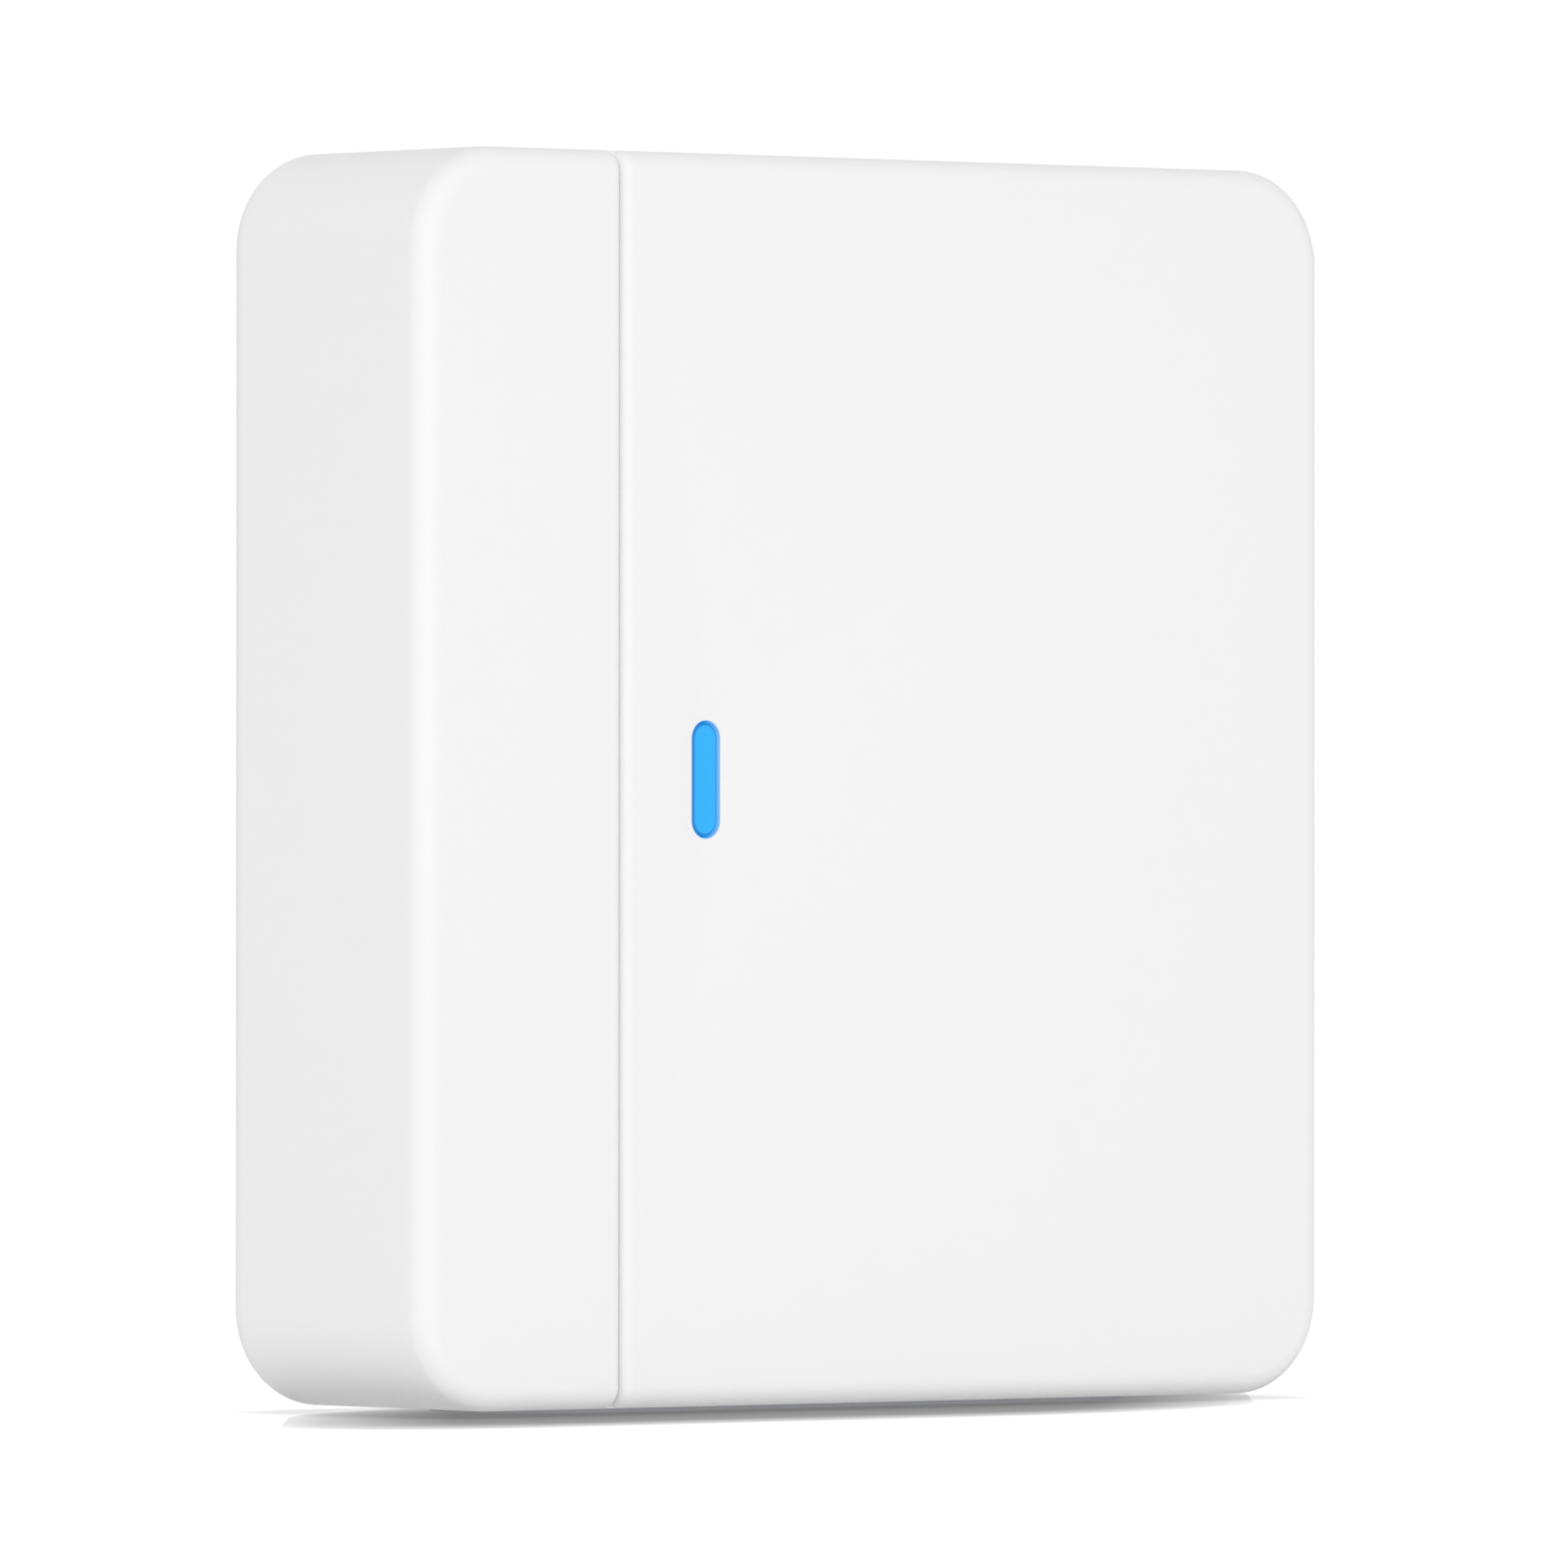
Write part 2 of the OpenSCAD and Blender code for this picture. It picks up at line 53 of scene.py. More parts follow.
case = {
    "cornerRadius": 14.4,
    "frontEdge": 3.3,
    "backEdge": 5.0,
    "wall": 2.4,
    "frontWall": 2.2,
    "rearRim": 7.5,
    "shelfInset": 4.8,
    "shelfLevel": 2.6,
    "cavityLevel": 5.0,
    "rimSoftness": 0.35,
    "cornerSteps": 24,
    "edgeSteps": 14,
    "support": 0.15,
    "sharpAngle": 34,
    "nearly": 0.0001,
}

stripLow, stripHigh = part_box("side_strip")
panelLow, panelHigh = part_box("front_panel")
housingLow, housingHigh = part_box("housing")
halfWidth = (panelHigh.x - stripLow.x) / 2 / mm
halfHeight = (panelHigh.z - panelLow.z) / 2 / mm
middleUp = (panelHigh.z + panelLow.z) / 2 / mm
backFace = housingHigh.y / mm
frontLevel = backFace - panelLow.y / mm
jointLevel = backFace - housingLow.y / mm
grooveAt = stripHigh.x / mm


# Points are x, height above the case's middle, and level in front of its back.
def spot(point):
    x, up, level = point
    return Vector((x, backFace - level, middleUp + up))


def levelOf(y):
    return backFace - y / mm


def arc(radius, start, end, steps, centre=(0, 0)):
    points = []
    for i in range(steps + 1):
        a = math.radians(start + (end - start) * i / steps)
        points.append((centre[0] + radius * math.cos(a), centre[1] + radius * math.sin(a)))
    return points


def roundedLoop(halfW, halfH, radius, steps=None, centre=(0, 0)):
    steps = steps or case["cornerSteps"]
    points = []
    for i, (sx, sy) in enumerate(((1, -1), (1, 1), (-1, 1), (-1, -1))):
        middle = (centre[0] + sx * (halfW - radius), centre[1] + sy * (halfH - radius))
        points += arc(radius, -90 + 90 * i, 90 * i, steps, middle)
    return points


def circleLoop(radius, steps=48, centre=(0, 0)):
    return arc(radius, 0, 360, steps, centre)[:-1]


def pillLoop(radius, halfStraight, steps=20, centre=(0, 0)):
    low = arc(radius, 180, 360, steps, (centre[0], centre[1] - halfStraight))
    return low + arc(radius, 0, 180, steps, (centre[0], centre[1] + halfStraight))


def atLevel(loop, level):
    return [(x, up, level) for x, up in loop]


def ring(bm, points):
    return [bm.verts.new(spot(p)) for p in points]


def bridge(bm, low, high, closed=True):
    count = len(low)
    for i in range(count if closed else count - 1):
        j = (i + 1) % count
        bm.faces.new((low[i], low[j], high[j], high[i]))


def stack(bm, loops, startCap=False, endCap=False):
    rows = [ring(bm, loop) for loop in loops]
    for low, high in zip(rows, rows[1:]):
        bridge(bm, low, high)
    if startCap:
        bm.faces.new(rows[0])
    if endCap:
        bm.faces.new(rows[-1])
    return rows


def fillBetween(bm, loops):
    edges = []
    for loop in loops:
        for a, b in zip(loop, loop[1:] + loop[:1]):
            edges.append(bm.edges.get((a, b)) or bm.edges.new((a, b)))
    bmesh.ops.triangle_fill(bm, use_beauty=True, use_dissolve=False, edges=edges)


def softEdge(size, steps=4):
    # inset and drop of a small rounding, from the face to the wall
    return [(size * (1 - math.sin(a)), size * (1 - math.cos(a)))
            for a in (math.pi / 2 * i / steps for i in range(steps + 1))]


def plainMesh(bm, name):
    bmesh.ops.recalc_face_normals(bm, faces=bm.faces)
    mesh = bpy.data.meshes.new(name)
    bm.to_mesh(mesh)
    bm.free()
    return mesh


def meshFrom(bm, name):
    return finishMesh(plainMesh(bm, name))


def finishMesh(mesh):
    mesh.transform(Matrix.Scale(mm, 4))
    mesh.shade_smooth()
    mesh.set_sharp_from_angle(angle=math.radians(case["sharpAngle"]))
    mesh.update()
    return mesh


def addPiece(name, mesh, finish, body, nodes=()):
    mesh.name = name
    mesh.materials.clear()
    mesh.materials.append(finish)
    piece = bpy.data.objects.new(name, mesh)
    bpy.context.scene.collection.objects.link(piece)
    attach(piece, body)
    if nodes:
        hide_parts(*nodes)
    return piece


def newFinish(name):
    finish = bpy.data.materials.new(name)
    finish.use_nodes = True
    tree = finish.node_tree
    tree.nodes.clear()
    out = tree.nodes.new("ShaderNodeOutputMaterial")
    shader = tree.nodes.new("ShaderNodeBsdfPrincipled")
    tree.links.new(shader.outputs["BSDF"], out.inputs["Surface"])
    coord = tree.nodes.new("ShaderNodeTexCoord")
    return finish, tree, shader, coord.outputs["Object"]


cloud = {"scale": 28, "detail": 3, "low": 0.2, "high": 0.8}
grainOf = {"detail": 2, "roughness": 0.55, "gloss": 0.05, "strength": 0.35}
brushed = {"scale": 900, "detail": 4, "roughness": 0.6, "strength": 0.25, "smoother": 0.08, "rougher": 0.1,
           "stainScale": 140, "stainDetail": 3, "stain": 0.86}
tracks = {"scale": 120, "width": 0.06, "between": 0.3, "fineScale": 1500, "fineDetail": 2,
          "gloss": (0.28, 0.4), "strength": 0.3, "height": 0.03}


def noise(tree, coord, scale, detail=2.0, rough=0.5):
    node = tree.nodes.new("ShaderNodeTexNoise")
    node.inputs["Scale"].default_value = scale
    node.inputs["Detail"].default_value = detail
    node.inputs["Roughness"].default_value = rough
    tree.links.new(coord, node.inputs["Vector"])
    return node.outputs["Fac"]


def spread(tree, value, low, high):
    node = tree.nodes.new("ShaderNodeMapRange")
    node.inputs["To Min"].default_value = low
    node.inputs["To Max"].default_value = high
    tree.links.new(value, node.inputs["Value"])
    return node.outputs["Result"]


def blendColours(tree, value, first, second):
    node = tree.nodes.new("ShaderNodeMix")
    node.data_type = "RGBA"
    node.inputs[6].default_value = (*first, 1)
    node.inputs[7].default_value = (*second, 1)
    tree.links.new(value, node.inputs["Factor"])
    return node.outputs[2]


def bump(tree, shader, height, strength, distance):
    node = tree.nodes.new("ShaderNodeBump")
    node.inputs["Strength"].default_value = strength
    node.inputs["Distance"].default_value = distance
    tree.links.new(height, node.inputs["Height"])
    tree.links.new(node.outputs["Normal"], shader.inputs["Normal"])


def moulded(name, colour, shade, rough, grainSize, grainDepth, specular=0.5):
    finish, tree, shader, coord = newFinish(name)
    cloudy = spread(tree, noise(tree, coord, cloud["scale"], cloud["detail"]), cloud["low"], cloud["high"])
    grain = noise(tree, coord, 1 / (grainSize * mm), grainOf["detail"], grainOf["roughness"])
    tree.links.new(blendColours(tree, cloudy, colour, shade), shader.inputs["Base Color"])
    tree.links.new(spread(tree, grain, rough - grainOf["gloss"], rough + grainOf["gloss"]),
                   shader.inputs["Roughness"])
    shader.inputs["Specular IOR Level"].default_value = specular
    bump(tree, shader, grain, grainOf["strength"], grainDepth * mm)
    return finish


def metal(name, colour, rough, streak, grainDepth):
    finish, tree, shader, coord = newFinish(name)
    mapping = tree.nodes.new("ShaderNodeMapping")
    mapping.inputs["Scale"].default_value = streak
    tree.links.new(coord, mapping.inputs["Vector"])
    lines = noise(tree, mapping.outputs["Vector"], brushed["scale"], brushed["detail"], brushed["roughness"])
    stain = noise(tree, coord, brushed["stainScale"], brushed["stainDetail"])
    darker = tuple(c * brushed["stain"] for c in colour)
    tree.links.new(blendColours(tree, stain, colour, darker), shader.inputs["Base Color"])
    tree.links.new(spread(tree, lines, rough - brushed["smoother"], rough + brushed["rougher"]),
                   shader.inputs["Roughness"])
    shader.inputs["Metallic"].default_value = 1.0
    bump(tree, shader, lines, brushed["strength"], grainDepth * mm)
    return finish


def solderMask(name, colour, copper):
    finish, tree, shader, coord = newFinish(name)
    cells = tree.nodes.new("ShaderNodeTexBrick")
    cells.inputs["Scale"].default_value = tracks["scale"]
    cells.inputs["Mortar Size"].default_value = tracks["width"]
    cells.inputs["Color1"].default_value = (0, 0, 0, 1)
    cells.inputs["Color2"].default_value = (tracks["between"],) * 3 + (1,)
    cells.inputs["Mortar"].default_value = (1, 1, 1, 1)
    turn = tree.nodes.new("ShaderNodeMapping")
    turn.inputs["Rotation"].default_value = (math.radians(90), 0, 0)
    tree.links.new(coord, turn.inputs["Vector"])
    tree.links.new(turn.outputs["Vector"], cells.inputs["Vector"])
    tree.links.new(blendColours(tree, cells.outputs["Color"], colour, copper),
                   shader.inputs["Base Color"])
    fine = noise(tree, coord, tracks["fineScale"], tracks["fineDetail"])
    tree.links.new(spread(tree, fine, *tracks["gloss"]), shader.inputs["Roughness"])
    bump(tree, shader, cells.outputs["Color"], tracks["strength"], tracks["height"] * mm)
    return finish


# each moulded finish: colour, shade, roughness, grain size, grain depth and gloss
plainWhite = ((0.87, 0.87, 0.87), (0.865, 0.865, 0.865), 0.5, 0.22, 0.005, 0.15)

finishes = {
    "case_white": moulded("satinWhite", *plainWhite),
    "rear_white": moulded("sparkWhite", (0.83, 0.83, 0.835), (0.81, 0.81, 0.815), 0.55, 0.35, 0.03),
    "button_white": moulded("buttonWhite", (0.8, 0.8, 0.81), (0.79, 0.79, 0.8), 0.32, 0.2, 0.004),
    "lamp_resin": moulded("lampResin", (0.85, 0.72, 0.3), (0.8, 0.66, 0.26), 0.2, 0.5, 0.01),
    "foot_rubber": moulded("footRubber", (0.5, 0.51, 0.53), (0.46, 0.47, 0.49), 0.72, 0.3, 0.04, 0.3),
    "label_film": moulded("labelFilm", (0.7, 0.71, 0.72), (0.68, 0.69, 0.7), 0.38, 0.6, 0.01),
    "screw_steel": metal("screwSteel", (0.56, 0.56, 0.57), 0.3, (1, 1, 1), 0.01),
    "can_steel": metal("canSteel", (0.66, 0.67, 0.68), 0.28, (1, 1, 0.06), 0.008),
    "sink_aluminium": metal("sinkAluminium", (0.6, 0.61, 0.63), 0.4, (1, 1, 0.05), 0.012),
    "can_aluminium": metal("sleeveAluminium", (0.42, 0.44, 0.5), 0.34, (1, 0.1, 1), 0.008),
    "gold_contact": metal("goldContact", (0.83, 0.6, 0.24), 0.22, (1, 0.1, 1), 0.004),
    "board_green": solderMask("boardGreen", (0.012, 0.07, 0.032), (0.03, 0.13, 0.06)),
    "chip_black": moulded("chipBlack", (0.018, 0.018, 0.02), (0.028, 0.028, 0.03), 0.5, 0.15, 0.02),
    "ferrite": moulded("ferriteGrey", (0.035, 0.035, 0.038), (0.05, 0.05, 0.05), 0.62, 0.2, 0.04),
    "black_plastic": moulded("portBlack", (0.014, 0.014, 0.016), (0.02, 0.02, 0.022), 0.4, 0.25, 0.02),
    "thermal_pad": moulded("padBlueGrey", (0.25, 0.3, 0.4), (0.22, 0.27, 0.36), 0.7, 0.4, 0.03),
    "plunger_red": moulded("plungerRed", (0.35, 0.03, 0.02), (0.3, 0.025, 0.018), 0.3, 0.3, 0.006),
}


# distance from the status light's centre line, which ends where its round ends begin
def awayFromLight(tree, coord, shift=0.0):
    def calc(operation, value, other=0.0, clamp=False):
        node = tree.nodes.new("ShaderNodeMath")
        node.operation = operation
        node.use_clamp = clamp
        node.inputs[1].default_value = other
        tree.links.new(value, node.inputs[0])
        return node.outputs[0]

    split = tree.nodes.new("ShaderNodeSeparateXYZ")
    tree.links.new(coord, split.inputs["Vector"])
    along = calc("ABSOLUTE", calc("SUBTRACT", split.outputs["Z"], middleUp * mm))
    join = tree.nodes.new("ShaderNodeCombineXYZ")
    tree.links.new(calc("SUBTRACT", split.outputs["X"], (lightAt + shift) * mm), join.inputs["X"])
    tree.links.new(calc("SUBTRACT", along, light["halfStraight"] * mm, True), join.inputs["Y"])
    length = tree.nodes.new("ShaderNodeVectorMath")
    length.operation = "LENGTH"
    tree.links.new(join.outputs[0], length.inputs[0])
    return length.outputs["Value"]


def ramp(tree, value, start, end):
    node = tree.nodes.new("ShaderNodeMapRange")
    node.interpolation_type = "SMOOTHSTEP"
    node.inputs["From Min"].default_value = start * mm
    node.inputs["From Max"].default_value = end * mm
    tree.links.new(value, node.inputs["Value"])
    return node.outputs["Result"]


# white plastic with painted light: the status light's blue glow is painted on the walls of its window, as
# blue colour and emission
def whiteWithPaintedGlow(name):
    finish = moulded(name, *plainWhite)
    tree = finish.node_tree
    shader = tree.nodes["Principled BSDF"]
    coord = tree.nodes["Texture Coordinate"].outputs["Object"]
    # painted light, fading out away from the status light
    white = ramp(tree, awayFromLight(tree, coord), *glow["wall"])
    tree.links.new(blendColours(tree, white, glow["paintedWallBlue"], plainWhite[0]), shader.inputs["Base Color"])
    tree.links.new(blendColours(tree, white, glow["paintedWallGlow"], (0, 0, 0)), shader.inputs["Emission Color"])
    shader.inputs["Emission Strength"].default_value = 1.0
    return finish


# the wide panel and the narrow strip, with the soft groove between them
groove = {
    "slotHalf": 0.15,
    "shoulder": 1.7,
    "depth": 1.9,
    "steps": 12,
}

light = {
    "radius": 2.65,
    "gap": 0.35,
    "recess": 0.4,
    "soft": 0.3,
    "edge": 0.12,
    "flangeLip": 1.4,
    "flange": 1.2,
    "stem": 2.0,
    "stemClear": 0.6,
}

pegs = {"inset": 9.0, "cornerShift": 3.0, "radius": 1.5, "length": 1.8, "chamfer": 0.3, "sides": 24}

lightLow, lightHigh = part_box("light_pipe")
lightAt = (lightLow.x + lightHigh.x) / 2 / mm
light["halfStraight"] = (lightHigh.z - lightLow.z) / 2 / mm - light["radius"] - light["flangeLip"]
plateLevel = frontLevel - case["frontWall"]

glow = {
    "unlit": (0.002, 0.03, 0.06), "roughness": 0.35,
    "grainScale": 3000, "grainStrength": 0.1, "grainDepth": 0.004,
    # the rim's colour and shift are painted shade
    "middle": (0.012, 0.405, 0.95), "rimPaintedShade": (0.0, 0.19, 0.56), "rim": (1.88, 2.02), "paintedShadeShift": 0.13,
    # painted light: blue colour and glow on the walls of the light's window
    "wall": (2.6, 2.76), "paintedWallBlue": (0.16, 0.36, 0.6), "paintedWallGlow": (0.02, 0.19, 0.4),
}


def lightLoop(radius, shorter=0.0):
    return pillLoop(radius, light["halfStraight"] - shorter, centre=(lightAt, 0))


def edgeRows():
    # inset, level and turn of the rows from the joint with the housing, over the edge, to the face
    radius = case["frontEdge"]
    rows = [(0, jointLevel, 0), (0, frontLevel - radius, 0)]
    for i in range(1, case["edgeSteps"] + 1):
        a = 90 * i / case["edgeSteps"]
        rows.append((radius * (1 - math.cos(math.radians(a))),
                     frontLevel - radius * (1 - math.sin(math.radians(a))), a))
    rows.append((radius + case["support"], frontLevel, 90))
    return rows


def grooveColumns():
    # distance from the slot's middle and drop below the face
    shoulder, half = groove["shoulder"], groove["slotHalf"]
    edge = half + shoulder
    columns = [(edge + case["support"], 0), (edge, 0)]
    for i in range(1, groove["steps"] + 1):
        a = math.pi / 2 * i / groove["steps"]
        columns.append((edge - shoulder * math.sin(a), shoulder * (math.cos(a) - 1)))
    return columns + [(half, -groove["depth"]), (0, -groove["depth"])]


def buildCover(name, side):
    bm = bmesh.new()
    outer = side * halfWidth - grooveAt
    reach = abs(outer)
    rows, columns = edgeRows(), grooveColumns()
    corner = case["cornerRadius"]

    def place(across, up, level):
        return spot((grooveAt + side * across, up, level))

    def columnVerts(across, drop):
        verts = []
        for end in (-1, 1):
            for inset, level, a in (rows if end < 0 else rows[::-1]):
                turn = math.radians(a)
                up = halfHeight - inset + drop * math.cos(turn)
                verts.append(bm.verts.new(place(across, end * up, level + drop * math.sin(turn))))
        return verts

    paths = [columnVerts(*c) for c in columns]
    for near, far in zip(paths, paths[1:]):
        bridge(bm, near, far, closed=False)
    bm.faces.new(paths[-1])

    count = len(rows)
    lines = []
    for i, (inset, level, _) in enumerate(rows):
        points = arc(corner - inset, -90, 0, case["cornerSteps"], (reach - corner, corner - halfHeight))
        points += arc(corner - inset, 0, 90, case["cornerSteps"], (reach - corner, halfHeight - corner))
        line = [bm.verts.new(place(x, up, level)) for x, up in points]
        lines.append([paths[0][i], *line, paths[0][2 * count - 1 - i]])
    for near, far in zip(lines, lines[1:]):
        bridge(bm, near, far, closed=False)

    # front face, with the light's window in the panel
    window, frontLoops, pocketLoops = [], [lines[-1]], []
    if side > 0:
        soft = [(o, frontLevel - d) for o, d in softEdge(light["edge"])]
        wallRows = soft + [(0, plateLevel)]
        window = stack(bm, [atLevel(lightLoop(light["radius"] + o), level) for o, level in wallRows])
        frontLoops.append(window[0])
        pocketLoops.append(window[-1])
    fillBetween(bm, frontLoops)

    # the back, with its pocket and pegs
    last = 2 * count - 1
    backLoop = lines[0] + [p[last] for p in paths[1:]] + [p[0] for p in reversed(paths[1:])]
    inner = case["wall"]
    near, far = inner, reach - case["frontEdge"] - inner
    tall = halfHeight - corner
    square = [(near, -tall), (far, -tall), (far, tall), (near, tall)]
    pocket = [[bm.verts.new(place(x, up, level)) for x, up in square] for level in (jointLevel, plateLevel)]
    bridge(bm, *pocket)
    fillBetween(bm, [pocket[1], *pocketLoops])
    backLoops = [backLoop, pocket[0]]
    for across in (pegs["inset"], reach - pegs["inset"] - pegs["cornerShift"]):
        for end in (-1, 1):
            at = (grooveAt + side * across, end * (halfHeight - pegs["inset"]))
            tip = jointLevel - pegs["length"]
            chamfer = pegs["chamfer"]
            profile = [(0, jointLevel), (0, tip + chamfer), (chamfer, tip)]
            loops = [atLevel(circleLoop(pegs["radius"] - o, pegs["sides"], at), level)
                     for o, level in profile]
            backLoops.append(stack(bm, loops, endCap=True)[0])
    fillBetween(bm, backLoops)
    return meshFrom(bm, name)


addPiece("frontPanel", buildCover("frontPanel", 1), whiteWithPaintedGlow("paintedGlowWindow"),
         "case", ["front_panel"])
addPiece("sideStrip", buildCover("sideStrip", -1), finishes["case_white"],
         "case", ["side_strip"])
print("smart home hub: front panel and side strip moulded")


posts = {
    "caseInset": 14.4, "caseRadius": 4.4, "caseBore": 1.25, "caseEnd": 3.0, "caseBoreEnd": 15.0,
    "boardInset": 6, "boardRadius": 3.2, "boardBore": 1.2, "boardBoreDepth": 6,
    "pegClear": 0.05, "lightSlot": 3.1, "sides": 32,
}

boardLow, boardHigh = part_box("main_board")
boardHalfW, boardHalfH = (boardHigh.x - boardLow.x) / 2 / mm, (boardHigh.z - boardLow.z) / 2 / mm
boardMiddle = (boardHigh.z + boardLow.z) / 2 / mm - middleUp
boardFront = levelOf(boardLow.y)
bulkheadLevel = jointLevel - case["frontWall"]


def caseLoop(inset, level):
    radius = case["cornerRadius"] - inset
    return atLevel(roundedLoop(halfWidth - inset, halfHeight - inset, radius), level)


def fourCorners(x, up, middle=0):
    return [(sx * x, middle + sy * up) for sx in (-1, 1) for sy in (-1, 1)]


def buildHousing():
    bm = bmesh.new()
    radius, support = case["backEdge"], case["support"]
    profile = [(0, jointLevel), (0, jointLevel - support), (0, radius + support), (0, radius)]
    for i in range(1, case["edgeSteps"] + 1):
        a = math.pi / 2 * i / case["edgeSteps"]
        profile.append((radius * (1 - math.cos(a)), radius * (1 - math.sin(a))))
    profile.append((radius + support, 0))
    rim, soft = case["rearRim"], case["rimSoftness"]
    profile.append((rim - soft - support, 0))
    profile += [(rim - o, d) for o, d in softEdge(soft)]
    profile += [(rim, case["shelfLevel"]), (case["shelfInset"], case["shelfLevel"]),
                (case["shelfInset"], case["cavityLevel"]), (case["wall"], case["cavityLevel"]),
                (case["wall"], bulkheadLevel)]
    rows = stack(bm, [caseLoop(*p) for p in profile])

    # bulkhead with its peg holes and light slot, and the screw posts on its inner face
    holes = []
    for side in (-1, 1):
        reach = abs(side * halfWidth - grooveAt)
        for across in (pegs["inset"], reach - pegs["inset"] - pegs["cornerShift"]):
            for end in (-1, 1):
                at = (grooveAt + side * across, end * (halfHeight - pegs["inset"]))
                holes.append(circleLoop(pegs["radius"] + posts["pegClear"], pegs["sides"], at))
    holes.append(lightLoop(posts["lightSlot"]))
    walls = [stack(bm, [atLevel(h, jointLevel), atLevel(h, bulkheadLevel)]) for h in holes]
    fillBetween(bm, [rows[0], *(w[0] for w in walls)])
    innerLoops = [rows[-1], *(w[-1] for w in walls)]
    for at in fourCorners(halfWidth - posts["caseInset"], halfHeight - posts["caseInset"]):
        innerLoops.append(screwPost(bm, at, "case", posts["caseEnd"], posts["caseBoreEnd"]))
    for at in fourCorners(boardHalfW - posts["boardInset"], boardHalfH - posts["boardInset"], boardMiddle):
        innerLoops.append(screwPost(bm, at, "board", boardFront, boardFront + posts["boardBoreDepth"]))
    fillBetween(bm, innerLoops)
    cutFootSeat(bm)
    return meshFrom(bm, "housing")


def screwPost(bm, at, kind, end, boreEnd):
    radius, bore = posts[kind + "Radius"], posts[kind + "Bore"]
    profile = [(radius, bulkheadLevel), (radius, end), (bore, end), (bore, boreEnd)]
    rows = [atLevel(circleLoop(r, posts["sides"], at), level) for r, level in profile]
    return stack(bm, rows, endCap=True)[0]


foot = {"corner": 14.0, "play": 0.1, "sink": 1.0, "soft": 0.3, "flatRim": 0.2, "largeFace": 1000}
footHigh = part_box("foot_pad")[1]
footHalfW, footHalfD = footHigh.x / mm, footHigh.y / mm


def footRing(bm, grow, height):
    loop = roundedLoop(footHalfW + grow, footHalfD + grow, foot["corner"] + grow)
    return [bm.verts.new(Vector((x, y, height))) for x, y in loop]


def cutFootSeat(bm):
    bottom = middleUp - halfHeight
    level = [f for f in bm.faces if f.normal.z and abs(f.calc_center_median().z - bottom) < case["nearly"]]
    under = [f for f in level if f.calc_area() > foot["largeFace"]]
    corners = list(under[0].verts)
    bmesh.ops.delete(bm, geom=under, context="FACES_ONLY")
    seat = [footRing(bm, foot["play"], h) for h in (bottom, bottom + foot["sink"])]
    bridge(bm, *seat)
    bm.faces.new(seat[-1])
    fillBetween(bm, [corners, seat[0]])


addPiece("housing", buildHousing(), finishes["case_white"], "case", ["housing"])
print("smart home hub: housing moulded")


def buildFoot():
    bm = bmesh.new()
    rows = [footRing(bm, -foot["soft"] - foot["flatRim"], 0)]
    rows += [footRing(bm, -o, d) for o, d in softEdge(foot["soft"])]
    rows.append(footRing(bm, 0, footHigh.z / mm))
    for low, high in zip(rows, rows[1:]):
        bridge(bm, low, high)
    bm.faces.new(rows[0])
    bm.faces.new(rows[-1])
    return meshFrom(bm, "footPad")


addPiece("footPad", buildFoot(), finishes["foot_rubber"], "case", ["foot_pad"])


def litBlue(name):
    finish, tree, shader, coord = newFinish(name)
    shader.inputs["Base Color"].default_value = (*glow["unlit"], 1)
    shader.inputs["Roughness"].default_value = glow["roughness"]
    # painted shade: the light's rim is painted darker, and wider on the left, where the window's edge would
    # shade it
    rim = ramp(tree, awayFromLight(tree, coord, glow["paintedShadeShift"]), *glow["rim"])
    tree.links.new(blendColours(tree, rim, glow["middle"], glow["rimPaintedShade"]),
                   shader.inputs["Emission Color"])
    shader.inputs["Emission Strength"].default_value = 1.0
    bump(tree, shader, noise(tree, coord, glow["grainScale"]), glow["grainStrength"], glow["grainDepth"] * mm)
    return finish


finishes["status_light"] = litBlue("statusBlue")


def buildLight():
    bm = bmesh.new()
    radius = light["radius"] - light["gap"]
    front = frontLevel - light["recess"]
    loops = [(radius - o, front - d, 0) for o, d in softEdge(light["soft"])]
    loops += [(radius, plateLevel, 0), (light["radius"] + light["flangeLip"], plateLevel, 0),
              (light["radius"] + light["flangeLip"], plateLevel - light["flange"], 0),
              (light["stem"], plateLevel - light["flange"], light["stemClear"] / 2),
              (light["stem"], levelOf(lightHigh.y), light["stemClear"] / 2)]
    stack(bm, [atLevel(lightLoop(r, less), level) for r, level, less in loops], startCap=True, endCap=True)
    return meshFrom(bm, "statusLight")


addPiece("statusLight", buildLight(), finishes["status_light"], "case", ["light_pipe"])
print("smart home hub: light and foot made")


rear = {
    "gap": 0.25, "recess": 0.6, "plate": 2.4, "soft": 0.35,
    "bayHalfW": 42.0, "bayHalfH": 11.0, "bayCorner": 10.0, "bayDepth": 0.8,
    "clear": 0.3, "holeSoft": 0.15,
    "ethernetHalfW": 8.1, "ethernetHalfH": 6.8, "jackRadius": 4.3,
    "screwSink": 1.9, "screwHead": 2.6, "screwHole": 1.2,
    "baySteps": 16, "plugCorner": 0.4, "plugSteps": 4, "softSteps": 3, "sides": 48,
}

button = {"radius": 4.0, "fit": 0.05, "bossWall": 1.6, "bossLevel": 6.0, "collarRadius": 5.4,
          "collar": 1.0, "stem": 1.5, "steps": 64, "soft": 0.6, "softSteps": 6,
          "dish": [(0.2, 0.22), (0.5, 0.17), (0.75, 0.05)]}

portUp = (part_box("power_jack")[0].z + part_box("power_jack")[1].z) / 2 / mm - middleUp
ethernetLow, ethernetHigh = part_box("ethernet_shell")
ethernetAt = ((ethernetLow.x + ethernetHigh.x) / 2 / mm, portUp)
jackLow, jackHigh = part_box("power_jack")
jackAt = ((jackLow.x + jackHigh.x) / 2 / mm, portUp)
buttonAt = (0, portUp)


